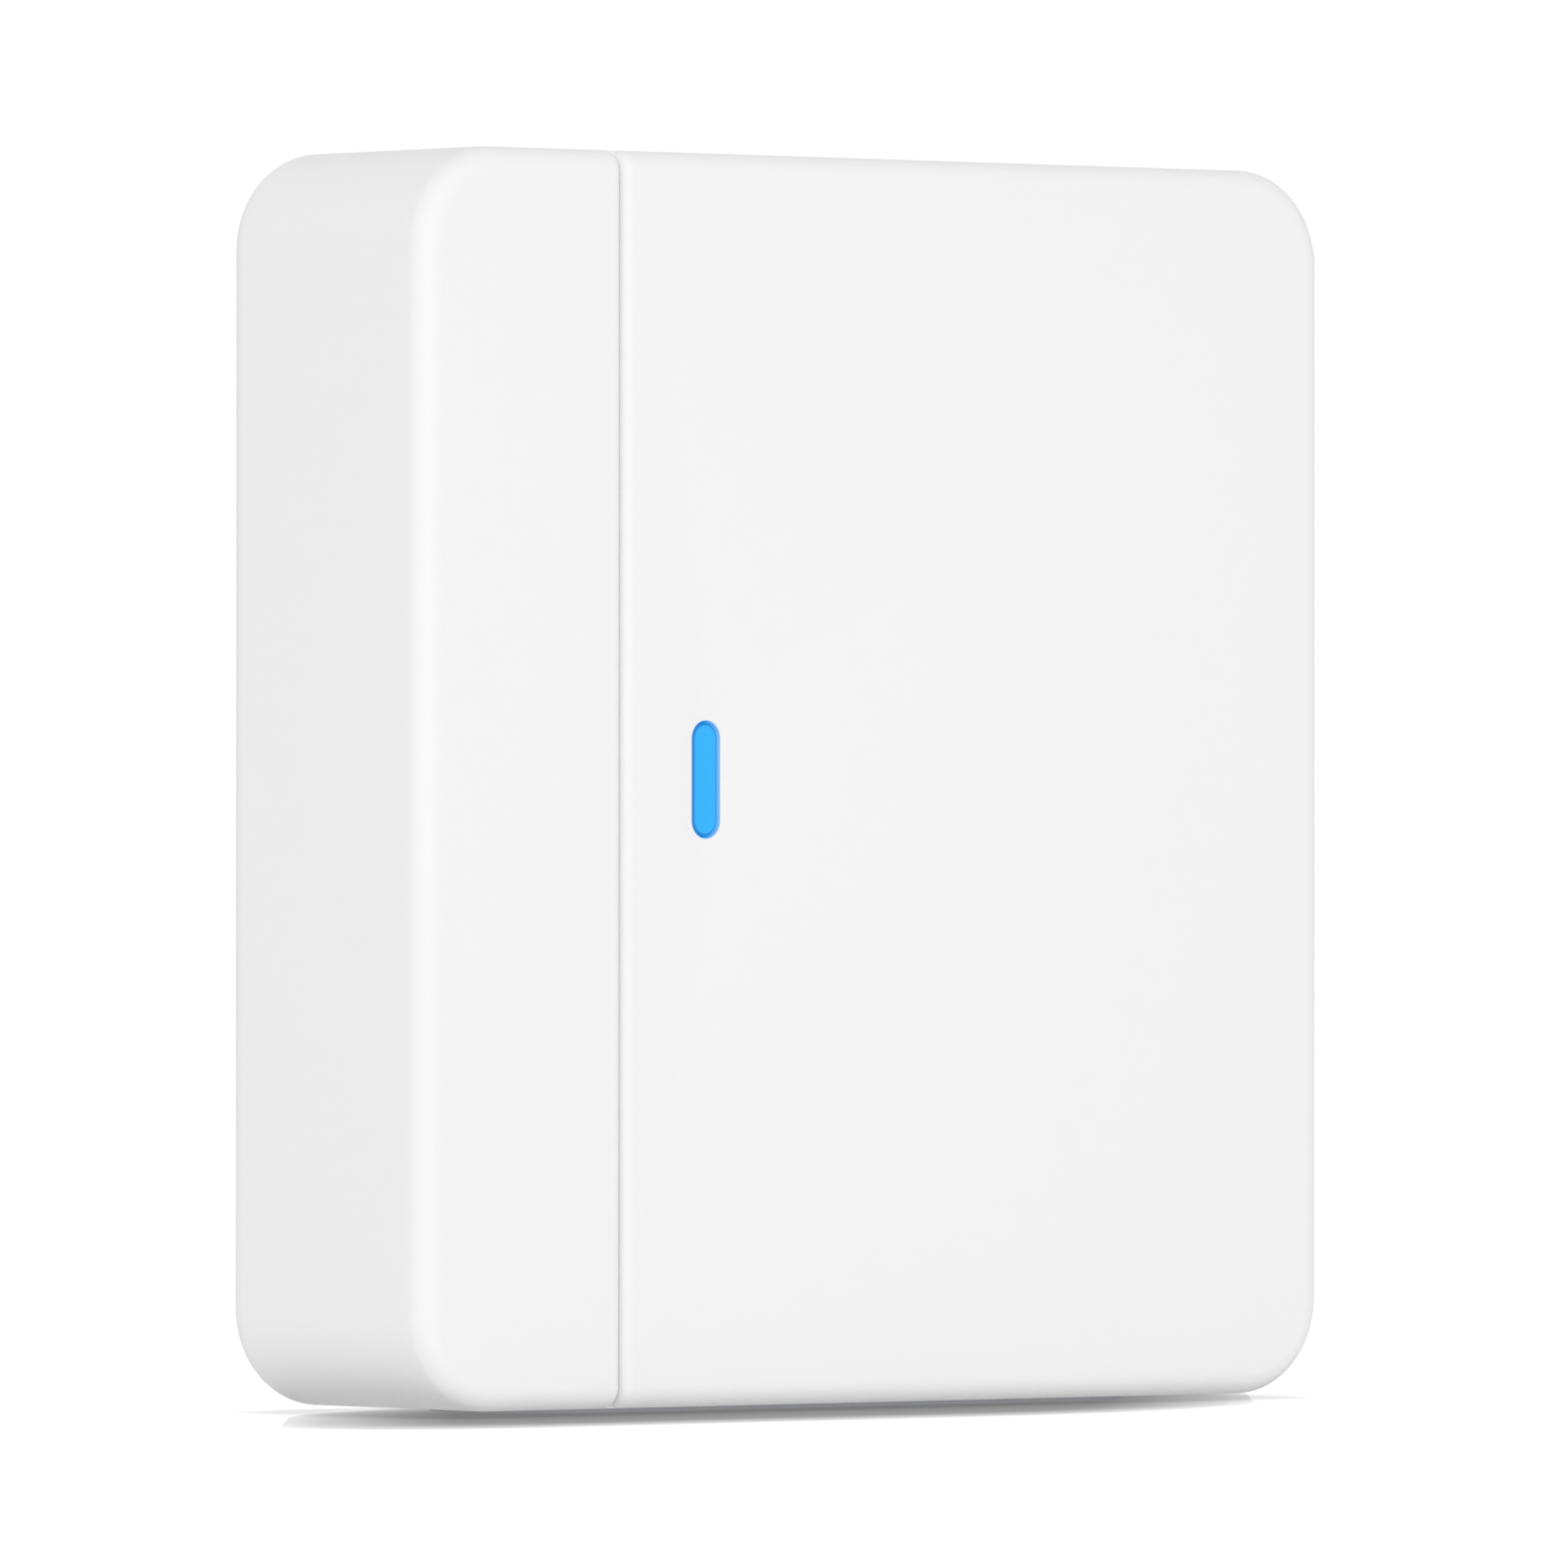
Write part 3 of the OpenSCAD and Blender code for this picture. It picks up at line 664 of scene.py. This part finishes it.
def buildRearCover():
    bm = bmesh.new()
    inset = case["rearRim"] + rear["gap"]
    outerLevel, innerLevel = rear["recess"], rear["recess"] + rear["plate"]

    def plateLoop(less, level):
        radius = case["cornerRadius"] - inset - less
        return atLevel(roundedLoop(halfWidth - inset - less, halfHeight - inset - less, radius), level)

    edge = [plateLoop(rear["soft"] + case["support"], outerLevel)]
    edge += [plateLoop(o, outerLevel + d) for o, d in softEdge(rear["soft"])]
    edge.append(plateLoop(0, innerLevel))
    rim = stack(bm, edge)

    def through(loopOf, start, end):
        soft = [atLevel(loopOf(o), start + d) for o, d in softEdge(rear["holeSoft"], rear["softSteps"])]
        return stack(bm, soft + [atLevel(loopOf(0), end)])

    floorLevel = outerLevel + rear["bayDepth"]
    middle = (0, portUp)
    bay = through(lambda o: roundedLoop(rear["bayHalfW"] + o, rear["bayHalfH"] + o, rear["bayCorner"] + o,
                                        rear["baySteps"], middle), outerLevel, floorLevel)
    clear, sides = rear["clear"], rear["sides"]
    plug = through(lambda o: roundedLoop(rear["ethernetHalfW"] + clear + o, rear["ethernetHalfH"] + clear + o,
                                         rear["plugCorner"] + o, rear["plugSteps"], ethernetAt),
                   floorLevel, innerLevel)
    jack = through(lambda o: circleLoop(rear["jackRadius"] + clear + o, sides, jackAt),
                   floorLevel, innerLevel)
    bore = through(lambda o: circleLoop(button["radius"] + button["fit"] + o, button["steps"], buttonAt),
                   floorLevel, button["bossLevel"])
    bossLoop = circleLoop(button["radius"] + button["bossWall"], button["steps"], buttonAt)
    boss = stack(bm, [atLevel(bossLoop, level) for level in (innerLevel, button["bossLevel"])])
    bridge(bm, boss[-1], bore[-1])
    outer, inner = [rim[0], bay[0]], [rim[-1], plug[-1], jack[-1], boss[0]]
    for at in fourCorners(halfWidth - posts["caseInset"], halfHeight - posts["caseInset"]):
        sink = through(lambda o: circleLoop(rear["screwHead"] + clear + o, sides, at),
                       outerLevel, rear["screwSink"])
        hole = stack(bm, [atLevel(circleLoop(rear["screwHole"] + clear, sides, at), level)
                          for level in (rear["screwSink"], innerLevel)])
        bridge(bm, sink[-1], hole[0])
        outer.append(sink[0])
        inner.append(hole[-1])
    fillBetween(bm, outer)
    fillBetween(bm, [bay[-1], plug[0], jack[0], bore[0]])
    fillBetween(bm, inner)
    return plainMesh(bm, "rearCoverPlain")


vents = {"Slots": 19, "Pitch": 6.0, "Width": 2.2, "Height": 24.0, "Upper row": 58.0, "Lower row": -25.0,
         "Flare": 0.25}
cut = {"sides": 24, "overcut": 2, "mouthDepth": 0.5}


def treeWith(name, inputs):
    tree = bpy.data.node_groups.new(name, "GeometryNodeTree")
    tree.is_modifier = True
    tree.interface.new_socket("Geometry", in_out="INPUT", socket_type="NodeSocketGeometry")
    tree.interface.new_socket("Geometry", in_out="OUTPUT", socket_type="NodeSocketGeometry")
    for key, value in inputs.items():
        kind = "NodeSocketInt" if isinstance(value, int) else "NodeSocketFloat"
        if isinstance(value, bpy.types.Material):
            kind = "NodeSocketMaterial"
        tree.interface.new_socket(key, in_out="INPUT", socket_type=kind)
    start = tree.nodes.new("NodeGroupInput")
    end = tree.nodes.new("NodeGroupOutput")
    return tree, start.outputs, end.inputs["Geometry"]


def add(tree, kind, links=None, **settings):
    node = tree.nodes.new(kind)
    for key, value in settings.items():
        setattr(node, key, value)
    for key, value in (links or {}).items():
        if isinstance(value, bpy.types.NodeSocket):
            tree.links.new(value, node.inputs[key])
        else:
            node.inputs[key].default_value = value
    return node


def endTree(tree, geometry, finish, result):
    real = add(tree, "GeometryNodeRealizeInstances", {"Geometry": geometry})
    done = add(tree, "GeometryNodeSetMaterial", {"Geometry": real.outputs["Geometry"], "Material": finish})
    tree.links.new(done.outputs["Geometry"], result)
    return tree


def runTree(tree, inputs, mesh):
    # the tree's result as a plain mesh
    holder = bpy.data.objects.new(tree.name, mesh)
    bpy.context.scene.collection.objects.link(holder)
    modifier = holder.modifiers.new(tree.name, "NODES")
    modifier.node_group = tree
    for item in tree.interface.items_tree:
        if item.in_out == "INPUT" and item.name in inputs:
            modifier[item.identifier] = inputs[item.name]
    holder.update_tag()
    evaluated = holder.evaluated_get(bpy.context.evaluated_depsgraph_get())
    result = bpy.data.meshes.new_from_object(evaluated)
    bpy.data.objects.remove(holder)
    return result


def ventTree(inputs):
    tree, given, result = treeWith("ventSlots", inputs)

    def calc(operation, a, b):
        node = add(tree, "ShaderNodeMath", operation=operation)
        for socket, value in zip(node.inputs, (a, b)):
            if isinstance(value, bpy.types.NodeSocket):
                tree.links.new(value, socket)
            else:
                socket.default_value = value
        return node.outputs[0]

    # one slot cutter: the hull round two short rods
    def cutter(grow, depth, level):
        radius = calc("ADD", calc("MULTIPLY", given["Width"], 0.5), grow)
        rise = calc("MULTIPLY", calc("SUBTRACT", given["Height"], given["Width"]), 0.5)
        rod = add(tree, "GeometryNodeMeshCylinder", {"Vertices": cut["sides"], "Radius": radius,
                                                     "Depth": depth})
        laid = add(tree, "GeometryNodeTransform", {"Geometry": rod.outputs["Mesh"],
                                                   "Rotation": (math.pi / 2, 0, 0)})
        both = add(tree, "GeometryNodeJoinGeometry")
        for sign in (-1, 1):
            shift = add(tree, "ShaderNodeCombineXYZ", {"Y": backFace - level,
                                                       "Z": calc("MULTIPLY", rise, sign)})
            moved = add(tree, "GeometryNodeTransform", {"Geometry": laid.outputs["Geometry"],
                                                        "Translation": shift.outputs[0]})
            tree.links.new(moved.outputs["Geometry"], both.inputs["Geometry"])
        return add(tree, "GeometryNodeConvexHull", {"Geometry": both.outputs["Geometry"]}).outputs[0]

    middleLevel = rear["recess"] + rear["plate"] / 2
    slot = cutter(0.0, rear["plate"] + cut["overcut"], middleLevel)
    # a shallow wider cutter flares the mouth on the outside
    mouth = cutter(given["Flare"], cut["mouthDepth"], rear["recess"])
    offsets = calc("MULTIPLY", calc("SUBTRACT", given["Slots"], 1), 0.5)
    first = calc("MULTIPLY", calc("MULTIPLY", offsets, given["Pitch"]), -1)
    step = add(tree, "ShaderNodeCombineXYZ", {"X": given["Pitch"]})
    cutters = add(tree, "GeometryNodeJoinGeometry")
    for row in ("Upper row", "Lower row"):
        start = add(tree, "ShaderNodeCombineXYZ", {"X": first, "Z": calc("ADD", given[row], middleUp)})
        line = add(tree, "GeometryNodeMeshLine", {"Count": given["Slots"], "Start Location": start.outputs[0],
                                                  "Offset": step.outputs[0]})
        for part in (slot, mouth):
            placed = add(tree, "GeometryNodeInstanceOnPoints", {"Points": line.outputs["Mesh"],
                                                                "Instance": part})
            real = add(tree, "GeometryNodeRealizeInstances", {"Geometry": placed.outputs["Instances"]})
            tree.links.new(real.outputs["Geometry"], cutters.inputs["Geometry"])
    slotted = add(tree, "GeometryNodeMeshBoolean", {"Mesh 1": given["Geometry"],
                                                    "Mesh 2": cutters.outputs["Geometry"],
                                                    "Self Intersection": True},
                  operation="DIFFERENCE", solver="EXACT")
    return endTree(tree, slotted.outputs["Mesh"], given["Finish"], result)


ventInputs = {**vents, "Finish": finishes["rear_white"]}
coverMesh = runTree(ventTree(ventInputs), ventInputs, buildRearCover())
addPiece("rearCover", finishMesh(coverMesh), finishes["rear_white"], "case", ["rear_cover"])
print("smart home hub: rear cover cut, with", vents["Slots"] * 2, "vents")


def buildButton():
    bm = bmesh.new()
    low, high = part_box("pair_button")
    outer, end = levelOf(high.y), levelOf(low.y)
    radius = button["radius"]
    collarLevel = button["bossLevel"] + button["fit"]
    profile = [(radius * share, outer + depth) for share, depth in button["dish"]]
    profile += [(radius - o, outer + d) for o, d in softEdge(button["soft"], button["softSteps"])]
    profile += [(radius, collarLevel), (button["collarRadius"], collarLevel),
                (button["collarRadius"], collarLevel + button["collar"]),
                (button["stem"], collarLevel + button["collar"]), (button["stem"], end)]
    stack(bm, [atLevel(circleLoop(r, button["steps"], buttonAt), level) for r, level in profile],
          startCap=True, endCap=True)
    return meshFrom(bm, "pairButton")


addPiece("pairButton", buildButton(), finishes["button_white"], "button", ["pair_button"])
print("smart home hub: button made")


# screws and socket contacts are each made once and repeated
caseScrew = {"head": 2.6, "headHeight": 1.0, "shaft": 1.2, "drive": 0.95, "driveDepth": 0.6, "soft": 0.25,
             "pitch": 0.9, "thread": 0.22, "point": 1.2, "tip": 0.45,
             "driveSoft": 0.06, "driveFloor": 0.96, "driveRound": 0.05,
             "rootFrom": 0.35, "rootTo": 0.65, "sides": 48}
boardScrew = {**caseScrew, "head": 2.4, "headHeight": 1.6, "shaft": 1.15, "pitch": 0.7, "thread": 0.2}
contactWire = {"Count": 8, "Pitch": 1.02, "bevel": 0.06, "nose": 0.5, "slim": 0.45,
               "steps": 4, "cornerSteps": 3}


def hexLoop(radius, sides):
    points = []
    for i in range(sides):
        a = 2 * math.pi * i / sides
        reach = radius * math.cos(math.pi / 6) / math.cos(a % (math.pi / 3) - math.pi / 6)
        points.append((reach * math.cos(a), reach * math.sin(a)))
    return points


def buildScrew(screw, low, high):
    # head towards the back, thread towards the front, on the middle line of the case
    bm = bmesh.new()
    top, end = levelOf(high.y), levelOf(low.y)
    sides, underHead = screw["sides"], top + screw["headHeight"]
    drive, floorOf, soft = screw["drive"], top + screw["driveDepth"], screw["driveSoft"]
    recess = [(drive * screw["driveFloor"], floorOf), (drive, floorOf - screw["driveRound"]),
              (drive, top + soft), (drive + soft, top)]
    profile = [(screw["head"] - o, top + d) for o, d in softEdge(screw["soft"])]
    profile += [(screw["head"], underHead), (screw["shaft"], underHead)]
    shaft, root, pitch = screw["shaft"], screw["shaft"] - screw["thread"], screw["pitch"]
    level = underHead + pitch
    while level < end - screw["point"] - pitch:
        profile += [(shaft, level), (root, level + pitch * screw["rootFrom"]),
                    (root, level + pitch * screw["rootTo"])]
        level += pitch
    profile += [(shaft, level), (shaft, end - screw["point"]), (shaft * screw["tip"], end)]
    loops = [atLevel(hexLoop(r, sides), at) for r, at in recess]
    loops += [atLevel(circleLoop(r, sides), at) for r, at in profile]
    stack(bm, loops, startCap=True, endCap=True)
    return plainMesh(bm, "screwPlain")


def fourTree(inputs):
    # the given screw at the four corners of a rectangle
    tree, given, result = treeWith("fourScrews", inputs)
    corners = add(tree, "GeometryNodeMeshGrid", {"Size X": given["Across"], "Size Y": given["Upward"],
                                                 "Vertices X": 2, "Vertices Y": 2})
    rise = add(tree, "ShaderNodeCombineXYZ", {"Z": given["Raised"]})
    upright = add(tree, "GeometryNodeTransform", {"Geometry": corners.outputs["Mesh"],
                                                  "Rotation": (math.pi / 2, 0, 0),
                                                  "Translation": rise.outputs[0]})
    placed = add(tree, "GeometryNodeInstanceOnPoints", {"Points": upright.outputs["Geometry"],
                                                        "Instance": given["Geometry"]})
    turns = add(tree, "FunctionNodeRandomValue", {"Min": given["Least turn"], "Max": given["Most turn"],
                                                  "Seed": given["Seed"]}, data_type="FLOAT")
    turned = add(tree, "ShaderNodeCombineXYZ", {"Y": turns.outputs[1]})
    pivot = add(tree, "ShaderNodeCombineXYZ", {"Z": middleUp})
    spun = add(tree, "GeometryNodeRotateInstances", {"Instances": placed.outputs["Instances"],
                                                     "Rotation": turned.outputs[0],
                                                     "Pivot Point": pivot.outputs[0]})
    return endTree(tree, spun.outputs["Instances"], given["Finish"], result)


def addScrews(name, node, screw):
    low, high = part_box(node)
    head = screw["head"]
    inputs = {"Across": (high.x - low.x) / mm - 2 * head, "Upward": (high.z - low.z) / mm - 2 * head,
              "Raised": (high.z + low.z) / 2 / mm - middleUp, "Least turn": 0.0, "Most turn": 1.0, "Seed": 4,
              "Finish": finishes["screw_steel"]}
    mesh = runTree(fourTree(inputs), inputs, buildScrew(screw, low, high))
    addPiece(name, finishMesh(mesh), finishes["screw_steel"], "case", [node])


addScrews("caseScrews", "case_screws", caseScrew)
addScrews("boardScrews", "board_screws", boardScrew)


def buildWire(low, high):
    # one contact at the left end of the row, its nose towards the socket's mouth
    bm = bmesh.new()
    wide = (high.x - low.x) / mm - (contactWire["Count"] - 1) * contactWire["Pitch"]
    tall = (high.z - low.z) / mm
    middle = (low.x / mm + wide / 2, (high.z + low.z) / 2 / mm - middleUp)
    start, end = levelOf(high.y), levelOf(low.y)
    rows = []
    for i in range(contactWire["steps"] + 1):
        a = math.pi / 2 * i / contactWire["steps"]
        slim = 1 - contactWire["slim"] * (1 - math.sin(a))
        rows.append((slim, start + contactWire["nose"] * (1 - math.cos(a))))
    rows.append((1, end))
    bevel, steps = contactWire["bevel"], contactWire["cornerSteps"]
    stack(bm, [atLevel(roundedLoop(wide / 2 * slim, tall / 2 * slim, bevel, steps, middle), level)
               for slim, level in rows], startCap=True, endCap=True)
    return plainMesh(bm, "wirePlain")


def rowTree(inputs):
    tree, given, result = treeWith("contactRow", inputs)
    step = add(tree, "ShaderNodeCombineXYZ", {"X": given["Pitch"]})
    line = add(tree, "GeometryNodeMeshLine", {"Count": given["Count"], "Offset": step.outputs[0]})
    placed = add(tree, "GeometryNodeInstanceOnPoints", {"Points": line.outputs["Mesh"],
                                                        "Instance": given["Geometry"]})
    return endTree(tree, placed.outputs["Instances"], given["Finish"], result)


rowInputs = {"Count": contactWire["Count"], "Pitch": contactWire["Pitch"], "Finish": finishes["gold_contact"]}
wireMesh = runTree(rowTree(rowInputs), rowInputs, buildWire(*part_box("ethernet_contacts")))
addPiece("socketContacts", finishMesh(wireMesh), finishes["gold_contact"], "case", ["ethernet_contacts"])
print("smart home hub: screws and socket contacts placed")


# every CAD part that is shown as it is gets its finish
for part in frame["record"]["subparts"]:
    node = frame["nodes"][part["node"]]
    finish = finishes[part["material_slot"]]
    if node.material_slots:
        for slot in node.material_slots:
            slot.material = finish
    else:
        node.data.materials.append(finish)


studio = {
    # brightness of the room from straight down to straight up
    "roomBrightness": [(0.0, 0.18), (1.0, 0.58), (0.5, 0.7), (0.7, 0.98)],
    "roomTint": (0.996, 0.996, 1.006),
    "backdrop": 1.05,
    "table": 0.97,
    # painted shade on the table close to the hub, and painted glow in the gap under it
    "paintedNearShade": 0.62,
    "dimmedWithin": (0.3, 0.9),
    "paintedGlowReach": (0.1, 0.45),
    "tableRadius": 0.9,
    "tableSides": 96,
    "tableHeight": -0.00005,
    "paintedGapGlow": 0.3,
    "contactReach": 0.012,
    "contactSamples": 8,
    "paintedContactShade": [(0.3, 0.75), (0.95, 1.0)],
    # painted soft shadow in front of the hub, slanting to its left: middle, half sizes, and white by distance
    "shadowMiddle": (-0.029, -0.02, 0),
    "shadowHalf": (0.042, 0.015),
    "shadowEnds": (0.6, 1.0),
    "shadowSlant": 0.82,
    "shadowFront": 0.015,
    "shadowReach": 0.03,
    "shadowFade": [(0.0, 0.32), (1.0, 1.0), (0.38, 0.34), (0.6, 0.5), (0.85, 0.75)],
    "shadowDepth": (-0.05, -0.024),
    "shadowDeepest": 0.78,
    # turn round the hub from its front, rise above the table, width, power and tint of each softbox
    "lamps": {
        "keySoftbox": (-34, 12, 1.6, 14.6, (1, 0.997, 0.99)),
        "rearSoftbox": (180, 30, 1.6, 2.4, (1, 1, 1)),
    },
    "lampDistance": 2.2,
}


def setStops(node, stops):
    for i, (at, white) in enumerate(stops):
        stop = node.color_ramp.elements[i] if i < 2 else node.color_ramp.elements.new(at)
        stop.position = at
        stop.color = (white, white, white, 1)


def clampedSpread(tree, value, ends, results):
    found = spread(tree, value, *results)
    found.node.inputs["From Min"].default_value, found.node.inputs["From Max"].default_value = ends
    return found


# the painted soft shadow in front of the hub, as a share of white
def paintedTableShadow(tree, coord, calc):
    place = tree.nodes.new("ShaderNodeSeparateXYZ")
    fromMiddle = calc("SUBTRACT", coord, studio["shadowMiddle"], "ShaderNodeVectorMath")
    tree.links.new(fromMiddle, place.inputs["Vector"])
    slanted = calc("MULTIPLY", calc("ADD", place.outputs["Y"], studio["shadowFront"]), studio["shadowSlant"])
    across = calc("SUBTRACT", place.outputs["X"], slanted)
    squares = []
    sides = zip((across, place.outputs["Y"]), studio["shadowHalf"], studio["shadowEnds"])
    for value, half, steepness in sides:
        past = calc("MAXIMUM", calc("SUBTRACT", calc("ABSOLUTE", value), half), 0.0)
        past = calc("MULTIPLY", past, steepness)
        squares.append(calc("MULTIPLY", past, past))
    outward = calc("DIVIDE", calc("SQRT", calc("ADD", *squares)), studio["shadowReach"])
    shadow = tree.nodes.new("ShaderNodeValToRGB")
    setStops(shadow, studio["shadowFade"])
    tree.links.new(outward, shadow.inputs["Fac"])
    ground = tree.nodes.new("ShaderNodeSeparateXYZ")
    tree.links.new(coord, ground.inputs["Vector"])
    deeper = clampedSpread(tree, ground.outputs["Y"], studio["shadowDepth"], (1.0, studio["shadowDeepest"]))
    # the shadow is only deeper inside its own outline
    deep = calc("POWER", deeper, calc("LESS_THAN", outward, 1.0))
    return calc("MULTIPLY", shadow.outputs["Color"], deep)


def paleTable(name):
    finish, tree, shader, coord = newFinish(name)

    def calc(operation, first, second=None, kind="ShaderNodeMath"):
        node = tree.nodes.new(kind)
        node.operation = operation
        for socket, value in zip(node.inputs, (first, second)):
            if isinstance(value, bpy.types.NodeSocket):
                tree.links.new(value, socket)
            elif value is not None:
                socket.default_value = value
        return node.outputs[0]

    def mix(share, first, second):
        node = tree.nodes.new("ShaderNodeMixShader")
        for socket, value in zip(node.inputs, (share, first, second)):
            tree.links.new(value, socket)
        return node.outputs["Shader"]

    # painted contact shade: the table's white is darkened close under the hub, by ambient occlusion
    contact = tree.nodes.new("ShaderNodeAmbientOcclusion")
    contact.samples = studio["contactSamples"]
    contact.inputs["Distance"].default_value = studio["contactReach"]
    fade = tree.nodes.new("ShaderNodeValToRGB")
    fade.color_ramp.interpolation = "EASE"
    setStops(fade, studio["paintedContactShade"])
    tree.links.new(contact.outputs["AO"], fade.inputs["Fac"])
    # the table as the camera sees it: self-lit white with the painted shadow and painted contact shade
    white = calc("MULTIPLY", paintedTableShadow(tree, coord, calc), fade.outputs["Color"])
    shade = tree.nodes.new("ShaderNodeEmission")
    tree.links.new(calc("MULTIPLY", white, studio["backdrop"]), shade.inputs["Strength"])

    # painted shade: the table's colour is darker close to the hub; painted light: a glow is added on the
    # table in the gap under the hub
    dimmed = clampedSpread(tree, contact.outputs["AO"], studio["dimmedWithin"],
                           (studio["paintedNearShade"], studio["table"]))
    glowInGap = clampedSpread(tree, contact.outputs["AO"], studio["paintedGlowReach"], (studio["paintedGapGlow"], 0.0))
    tree.links.new(dimmed, shader.inputs["Base Color"])
    tree.links.new(glowInGap, shader.inputs["Emission Strength"])
    shader.inputs["Emission Color"].default_value = (1, 1, 1, 1)
    shader.inputs["Roughness"].default_value = 1.0
    shader.inputs["Specular IOR Level"].default_value = 0.0

    # from underneath the table lets the hub's foot be seen
    seen = tree.nodes.new("ShaderNodeLightPath").outputs["Is Camera Ray"]
    under = tree.nodes.new("ShaderNodeNewGeometry").outputs["Backfacing"]
    clear = tree.nodes.new("ShaderNodeBsdfTransparent").outputs["BSDF"]
    above = mix(seen, shader.outputs["BSDF"], shade.outputs["Emission"])
    out = [n for n in tree.nodes if n.type == "OUTPUT_MATERIAL"][0]
    tree.links.new(mix(under, above, clear), out.inputs["Surface"])
    return finish


def buildTable():
    mesh = bpy.data.meshes.new("table")
    edge = [(x, y, studio["tableHeight"]) for x, y in circleLoop(studio["tableRadius"], studio["tableSides"])]
    mesh.from_pydata(edge, [], [tuple(range(len(edge)))])
    mesh.materials.append(paleTable("tableWhite"))
    table = bpy.data.objects.new("table", mesh)
    bpy.context.scene.collection.objects.link(table)
    return table


def buildRoom():
    world = bpy.data.worlds.new("softRoom")
    world.use_nodes = True
    sky = world.node_tree
    sky.nodes.clear()
    out = sky.nodes.new("ShaderNodeOutputWorld")
    mixer = sky.nodes.new("ShaderNodeMixShader")
    room = sky.nodes.new("ShaderNodeBackground")
    backdrop = sky.nodes.new("ShaderNodeBackground")
    seen = sky.nodes.new("ShaderNodeLightPath")
    # the room is brighter overhead than round the foot of the walls
    whereTo = sky.nodes.new("ShaderNodeTexCoord")
    upward = sky.nodes.new("ShaderNodeSeparateXYZ")
    sky.links.new(whereTo.outputs["Generated"], upward.inputs["Vector"])
    walls = sky.nodes.new("ShaderNodeValToRGB")
    setStops(walls, studio["roomBrightness"])
    sky.links.new(clampedSpread(sky, upward.outputs["Z"], (-1, 1), (0.0, 1.0)), walls.inputs["Fac"])
    room.inputs["Color"].default_value = (*studio["roomTint"], 1)
    sky.links.new(walls.outputs["Color"], room.inputs["Strength"])
    backdrop.inputs["Color"].default_value = (1, 1, 1, 1)
    backdrop.inputs["Strength"].default_value = studio["backdrop"]
    sky.links.new(seen.outputs["Is Camera Ray"], mixer.inputs["Fac"])
    sky.links.new(room.outputs[0], mixer.inputs[1])
    sky.links.new(backdrop.outputs[0], mixer.inputs[2])
    sky.links.new(mixer.outputs[0], out.inputs["Surface"])
    return world


def softbox(name, turn, rise, size, power, tint):
    lamp = bpy.data.lights.new(name, "AREA")
    lamp.shape = "DISK"
    lamp.size = size
    lamp.energy = power
    lamp.color = tint
    holder = bpy.data.objects.new(name, lamp)
    a, e = math.radians(turn), math.radians(rise)
    away = Vector((math.sin(a) * math.cos(e), -math.cos(a) * math.cos(e), math.sin(e)))
    holder.location = Vector((0, 0, middleUp * mm)) + away * studio["lampDistance"]
    holder.rotation_mode = "QUATERNION"
    holder.rotation_quaternion = away.to_track_quat("Z", "Y")
    bpy.context.scene.collection.objects.link(holder)


buildTable()
bpy.context.scene.world = buildRoom()
for name, values in studio["lamps"].items():
    softbox(name, *values)
bpy.context.scene.view_settings.view_transform = "Standard"
bpy.context.scene.view_settings.look = "None"

view = {"turn": 39.362, "pitch": 0.2286, "roll": -0.0378, "lens": 412.6,
        "sensor": 36, "clip": (0.1, 100), "place": (-1.6959, -2.0683, 0.08164)}


def placeCamera():
    shot = bpy.data.cameras.new("shot")
    shot.lens = view["lens"]
    shot.sensor_width = view["sensor"]
    shot.clip_start, shot.clip_end = view["clip"]
    camera = bpy.data.objects.new("shot", shot)
    camera.location = view["place"]
    camera.rotation_euler = [math.radians(v) for v in (90 + view["pitch"], view["roll"], -view["turn"])]
    bpy.context.scene.collection.objects.link(camera)
    return camera


bpy.context.scene.camera = placeCamera()
print("smart home hub: studio and camera set")
